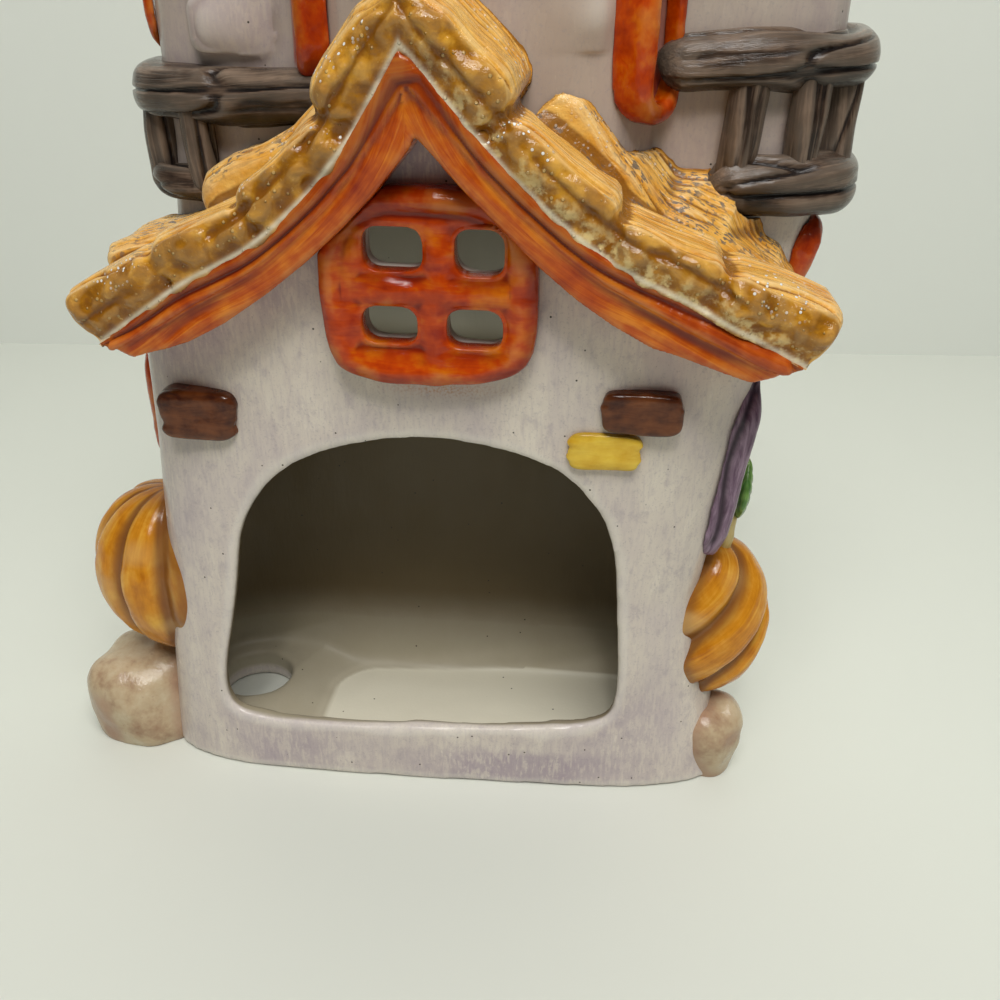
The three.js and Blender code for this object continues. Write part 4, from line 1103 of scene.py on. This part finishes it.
def brick(glaze, node, slot, seed):
    """Soft pillow of glaze over a low brick, with brushed ends"""
    low, high = (np.array(corner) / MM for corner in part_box(node))
    middle = (low + high) / 2
    half = (high - low) / 2
    facts = {}

    def rule(unit):
        size = np.abs(unit) ** 5
        block = unit / (size.sum(1) ** 0.2)[:, None]
        x, y, z = block.T
        strokes = block[:, 2:] * (0, 0, 20)
        ragged = 0.98 + 0.09 * noise(strokes, 5.5, seed)
        facts["grain"] = columns(z * half[2], x * half[0], y * 2)
        facts["groove"] = 0.5 * ease(np.abs(z) + 0.3 * np.abs(x), 0.9, 1.15)
        return columns(middle[0] + x * half[0] * 0.97 * ragged, middle[1] + 1.0 + y * half[1],
                       middle[2] + z * half[2] * 0.97)

    clay = ball(120, 64, rule)
    clay.push(0.16 * noise(clay.points, (9, 9, 2), seed + 1) + 0.3 * noise(clay.points, 4.5, seed + 2))
    for name, values in facts.items():
        clay.mark(name, values)
    clay.place(f"{node}_glazed", glaze, slot, [node])


def shutter(glaze):
    clay = softened("side_shutter", 0.45, 8)
    x, y, z = clay.points.T
    low, high = (np.array(corner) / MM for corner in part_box("side_shutter"))
    share = (z - low[2]) / (high[2] - low[2])
    centre = columns(65.9 + 0.11 * (z - 93), -11.8 - 0.05 * (z - 93))
    taper = 1 - 0.5 * ease(share, 0.78, 1.0) - 0.35 * ease(-share, -0.16, 0.0)
    clay.points[:, :2] = centre + (clay.points[:, :2] - centre) * taper[:, None]
    across = x - centre[:, 0]
    front = ease(clay.normals()[:, 0], 0.2, 0.8) + ease(-clay.normals()[:, 1], 0.2, 0.8)
    wave = bell(across + 0.4 - 0.9 * np.sin(share * 8), 0.7) * ease(share, 0.05, 0.12)
    wave = np.maximum(wave, np.exp(-((across - 0.6) / 1.2) ** 2 - ((share - 0.93) / 0.045) ** 2))
    clay.push(-0.7 * wave * np.clip(front, 0, 1) + 0.25 * noise(clay.points, (3, 3, 9), 99))
    clay.mark("grain", columns(x + y, z, z))
    clay.mark("groove", np.clip(1.4 * wave * front, 0, 1.25))
    clay.place("side_shutter_board", glaze, "shutter_purple", ["side_shutter"])


def door(orange, purple, yellow, stone):
    clay = softened("door_surround", 0.6, 6)
    clay.push(0.1 + 0.3 * noise(clay.points, 6, 101))
    x, y, z = clay.points.T
    clay.mark("grain", columns(x + y, z, z))
    clay.place("door_surround_arch", orange, "window_orange", ["door_surround"])
    clay = softened("door_panel", 0.5, 4)
    x, y, z = clay.points.T
    plank = bell(np.mod(x + 16.7, 6.3) - 3.15, 0.45)
    face = ease(clay.normals()[:, 1], 0.3, 0.8)
    clay.push(-0.8 * plank * face + 0.15 * noise(clay.points, (2, 2, 16), 102))
    clay.mark("grain", columns(x, z, z))
    clay.mark("groove", plank * face)
    clay.place("door_planks", purple, "shutter_purple", ["door_panel"])
    clay = softened("door_knob", 0.25, 6)
    clay.mark("grain", clay.points)
    clay.place("door_knob_glazed", yellow, "brick_yellow", ["door_knob"])
    clay = softened("door_step", 0.7, 6)
    clay.push(0.35 * noise(clay.points, 7, 103))
    clay.points[:, 2] = np.maximum(clay.points[:, 2], 0)
    clay.place("door_step_stone", stone, "rock_beige", ["door_step"])


# Camera, table and light

def camera():
    """The photograph's view: 29 degrees down, from 6.5 degrees right of the front"""
    turn, tilt, roll = math.radians(6.5), math.radians(29), math.radians(0.5)
    ahead = Vector((-math.sin(turn) * math.cos(tilt), math.cos(turn) * math.cos(tilt), -math.sin(tilt)))
    level = Vector((math.cos(turn), math.sin(turn), 0))
    over = level.cross(ahead)
    right = level * math.cos(roll) + over * math.sin(roll)
    up = over * math.cos(roll) - level * math.sin(roll)
    data = bpy.data.cameras.new("camera")
    data.lens = 36
    data.sensor_width = 36
    data.clip_start = 0.01
    piece = bpy.data.objects.new("camera", data)
    spot = Vector((37.1, -221.0, 196.9)) * MM
    axes = Matrix((right, up, -ahead)).transposed().to_4x4()
    piece.matrix_world = Matrix.Translation(spot) @ axes
    bpy.context.scene.collection.objects.link(piece)
    bpy.context.scene.camera = piece


def plain_surface(name, colour, roughness):
    material = bpy.data.materials.new(name)
    material.use_nodes = True
    shader = material.node_tree.nodes["Principled BSDF"]
    shader.inputs["Base Color"].default_value = (*colour, 1)
    shader.inputs["Roughness"].default_value = roughness
    return material


def sheet(name, corners, material):
    mesh = bpy.data.meshes.new(name)
    mesh.from_pydata([Vector(corner) * MM for corner in corners], [], [(0, 1, 2, 3)])
    mesh.materials.append(material)
    piece = bpy.data.objects.new(name, mesh)
    bpy.context.scene.collection.objects.link(piece)


def clear_from_behind(material):
    """Lets the object be seen through the far side of a backdrop"""
    nodes, links = material.node_tree.nodes, material.node_tree.links
    side = nodes.new("ShaderNodeNewGeometry")
    clear = nodes.new("ShaderNodeBsdfTransparent")
    either = nodes.new("ShaderNodeMixShader")
    links.new(side.outputs["Backfacing"], either.inputs["Fac"])
    links.new(nodes["Principled BSDF"].outputs["BSDF"], either.inputs[1])
    links.new(clear.outputs["BSDF"], either.inputs[2])
    links.new(either.outputs["Shader"], nodes["Material Output"].inputs["Surface"])
    return material


def stage():
    reach = 2500
    wall_y, slant = 306, 255
    near, far = wall_y - slant, wall_y + slant
    sheet("table", [(-reach, -reach, 0), (reach, -reach, 0), (reach, reach, 0), (-reach, reach, 0)],
          plain_surface("table_top", (0.71, 0.735, 0.67), 0.5))
    sheet("wall", [(-reach, near, -1), (reach, far, -1), (reach, far, reach), (-reach, near, reach)],
          clear_from_behind(plain_surface("wall_paint", (0.79, 0.82, 0.765), 0.7)))


def lamp(name, spot, aim, size, power):
    data = bpy.data.lights.new(name, "AREA")
    data.shape = "DISK"
    data.size = size
    data.energy = power
    data.color = (1, 0.985, 0.955)
    piece = bpy.data.objects.new(name, data)
    piece.location = spot
    piece.rotation_euler = (Vector(aim) - Vector(spot)).to_track_quat("-Z", "Y").to_euler()
    bpy.context.scene.collection.objects.link(piece)


def light():
    """A wide lamp, a small one and a dim room that looks pale where the camera sees it"""
    world = bpy.data.worlds.new("room")
    world.use_nodes = True
    nodes, links = world.node_tree.nodes, world.node_tree.links
    back = nodes["Background"]
    back.inputs["Color"].default_value = (0.93, 0.95, 0.93, 1)
    path = nodes.new("ShaderNodeLightPath")
    strength = nodes.new("ShaderNodeMapRange")
    strength.inputs["To Min"].default_value = 0.115
    strength.inputs["To Max"].default_value = 0.62
    links.new(path.outputs["Is Camera Ray"], strength.inputs["Value"])
    links.new(strength.outputs["Result"], back.inputs["Strength"])
    bpy.context.scene.world = world
    lamp("ceiling", (0.13, -0.46, 1.08), (0, 0.02, 0.06), 0.75, 11)
    lamp("spot", (0.06, -0.62, 0.95), (0, 0, 0.08), 0.08, 1)


def main():
    camera()
    stage()
    light()
    walls = wall_glaze()
    straw_lower = straw_glaze("thatch_amber")
    straw_upper = straw_glaze("tower_roof_amber")
    barge = orange_glaze("barge_orange", (0.26, 0.018, 0.001), (0.5, 0.08, 0.003), (0.72, 0.22, 0.015),
                         along=24, strokes=0.55)
    window = orange_glaze("window_orange", (0.28, 0.013, 0), (0.49, 0.05, 0), (0.65, 0.16, 0.002),
                          along=3, strokes=0.3)
    timber = timber_glaze()
    squash = pumpkin_glaze()
    stone = rock_glaze()
    brown = brick_glaze("brick_brown", (0.05, 0.01, 0.003), (0.21, 0.064, 0.017))
    yellow = brick_glaze("brick_yellow", (0.66, 0.37, 0.02), (0.83, 0.58, 0.07))
    green = plain_glaze("leaf_green", (0.045, 0.17, 0.03), (0.25, 0.43, 0.11))
    stem = plain_glaze("stem_straw", (0.50, 0.36, 0.12), (0.66, 0.54, 0.25))
    purple = plain_glaze("shutter_purple", (0.11, 0.055, 0.10), (0.34, 0.235, 0.32))
    house_walls(walls)
    thatch(straw_lower)
    tower_roof(straw_upper)
    bargeboards(barge)
    gable_window(window)
    side_windows(window)
    balconies(timber)
    pumpkin(squash, "pumpkin_left", PUMPKIN_LEFT)
    pumpkin(squash, "pumpkin_right", PUMPKIN_RIGHT)
    rock(stone, "rock_left", ROCK_LEFT)
    rock(stone, "rock_right", ROCK_RIGHT)
    leaf(green, stem)
    brick(brown, "brick_brown_left", "brick_brown", 111)
    brick(brown, "brick_brown_right", "brick_brown", 121)
    brick(yellow, "brick_yellow", "brick_yellow", 131)
    shutter(purple)
    door(window, purple, yellow, stone)
    bpy.context.scene.view_settings.view_transform = "Standard"


main()
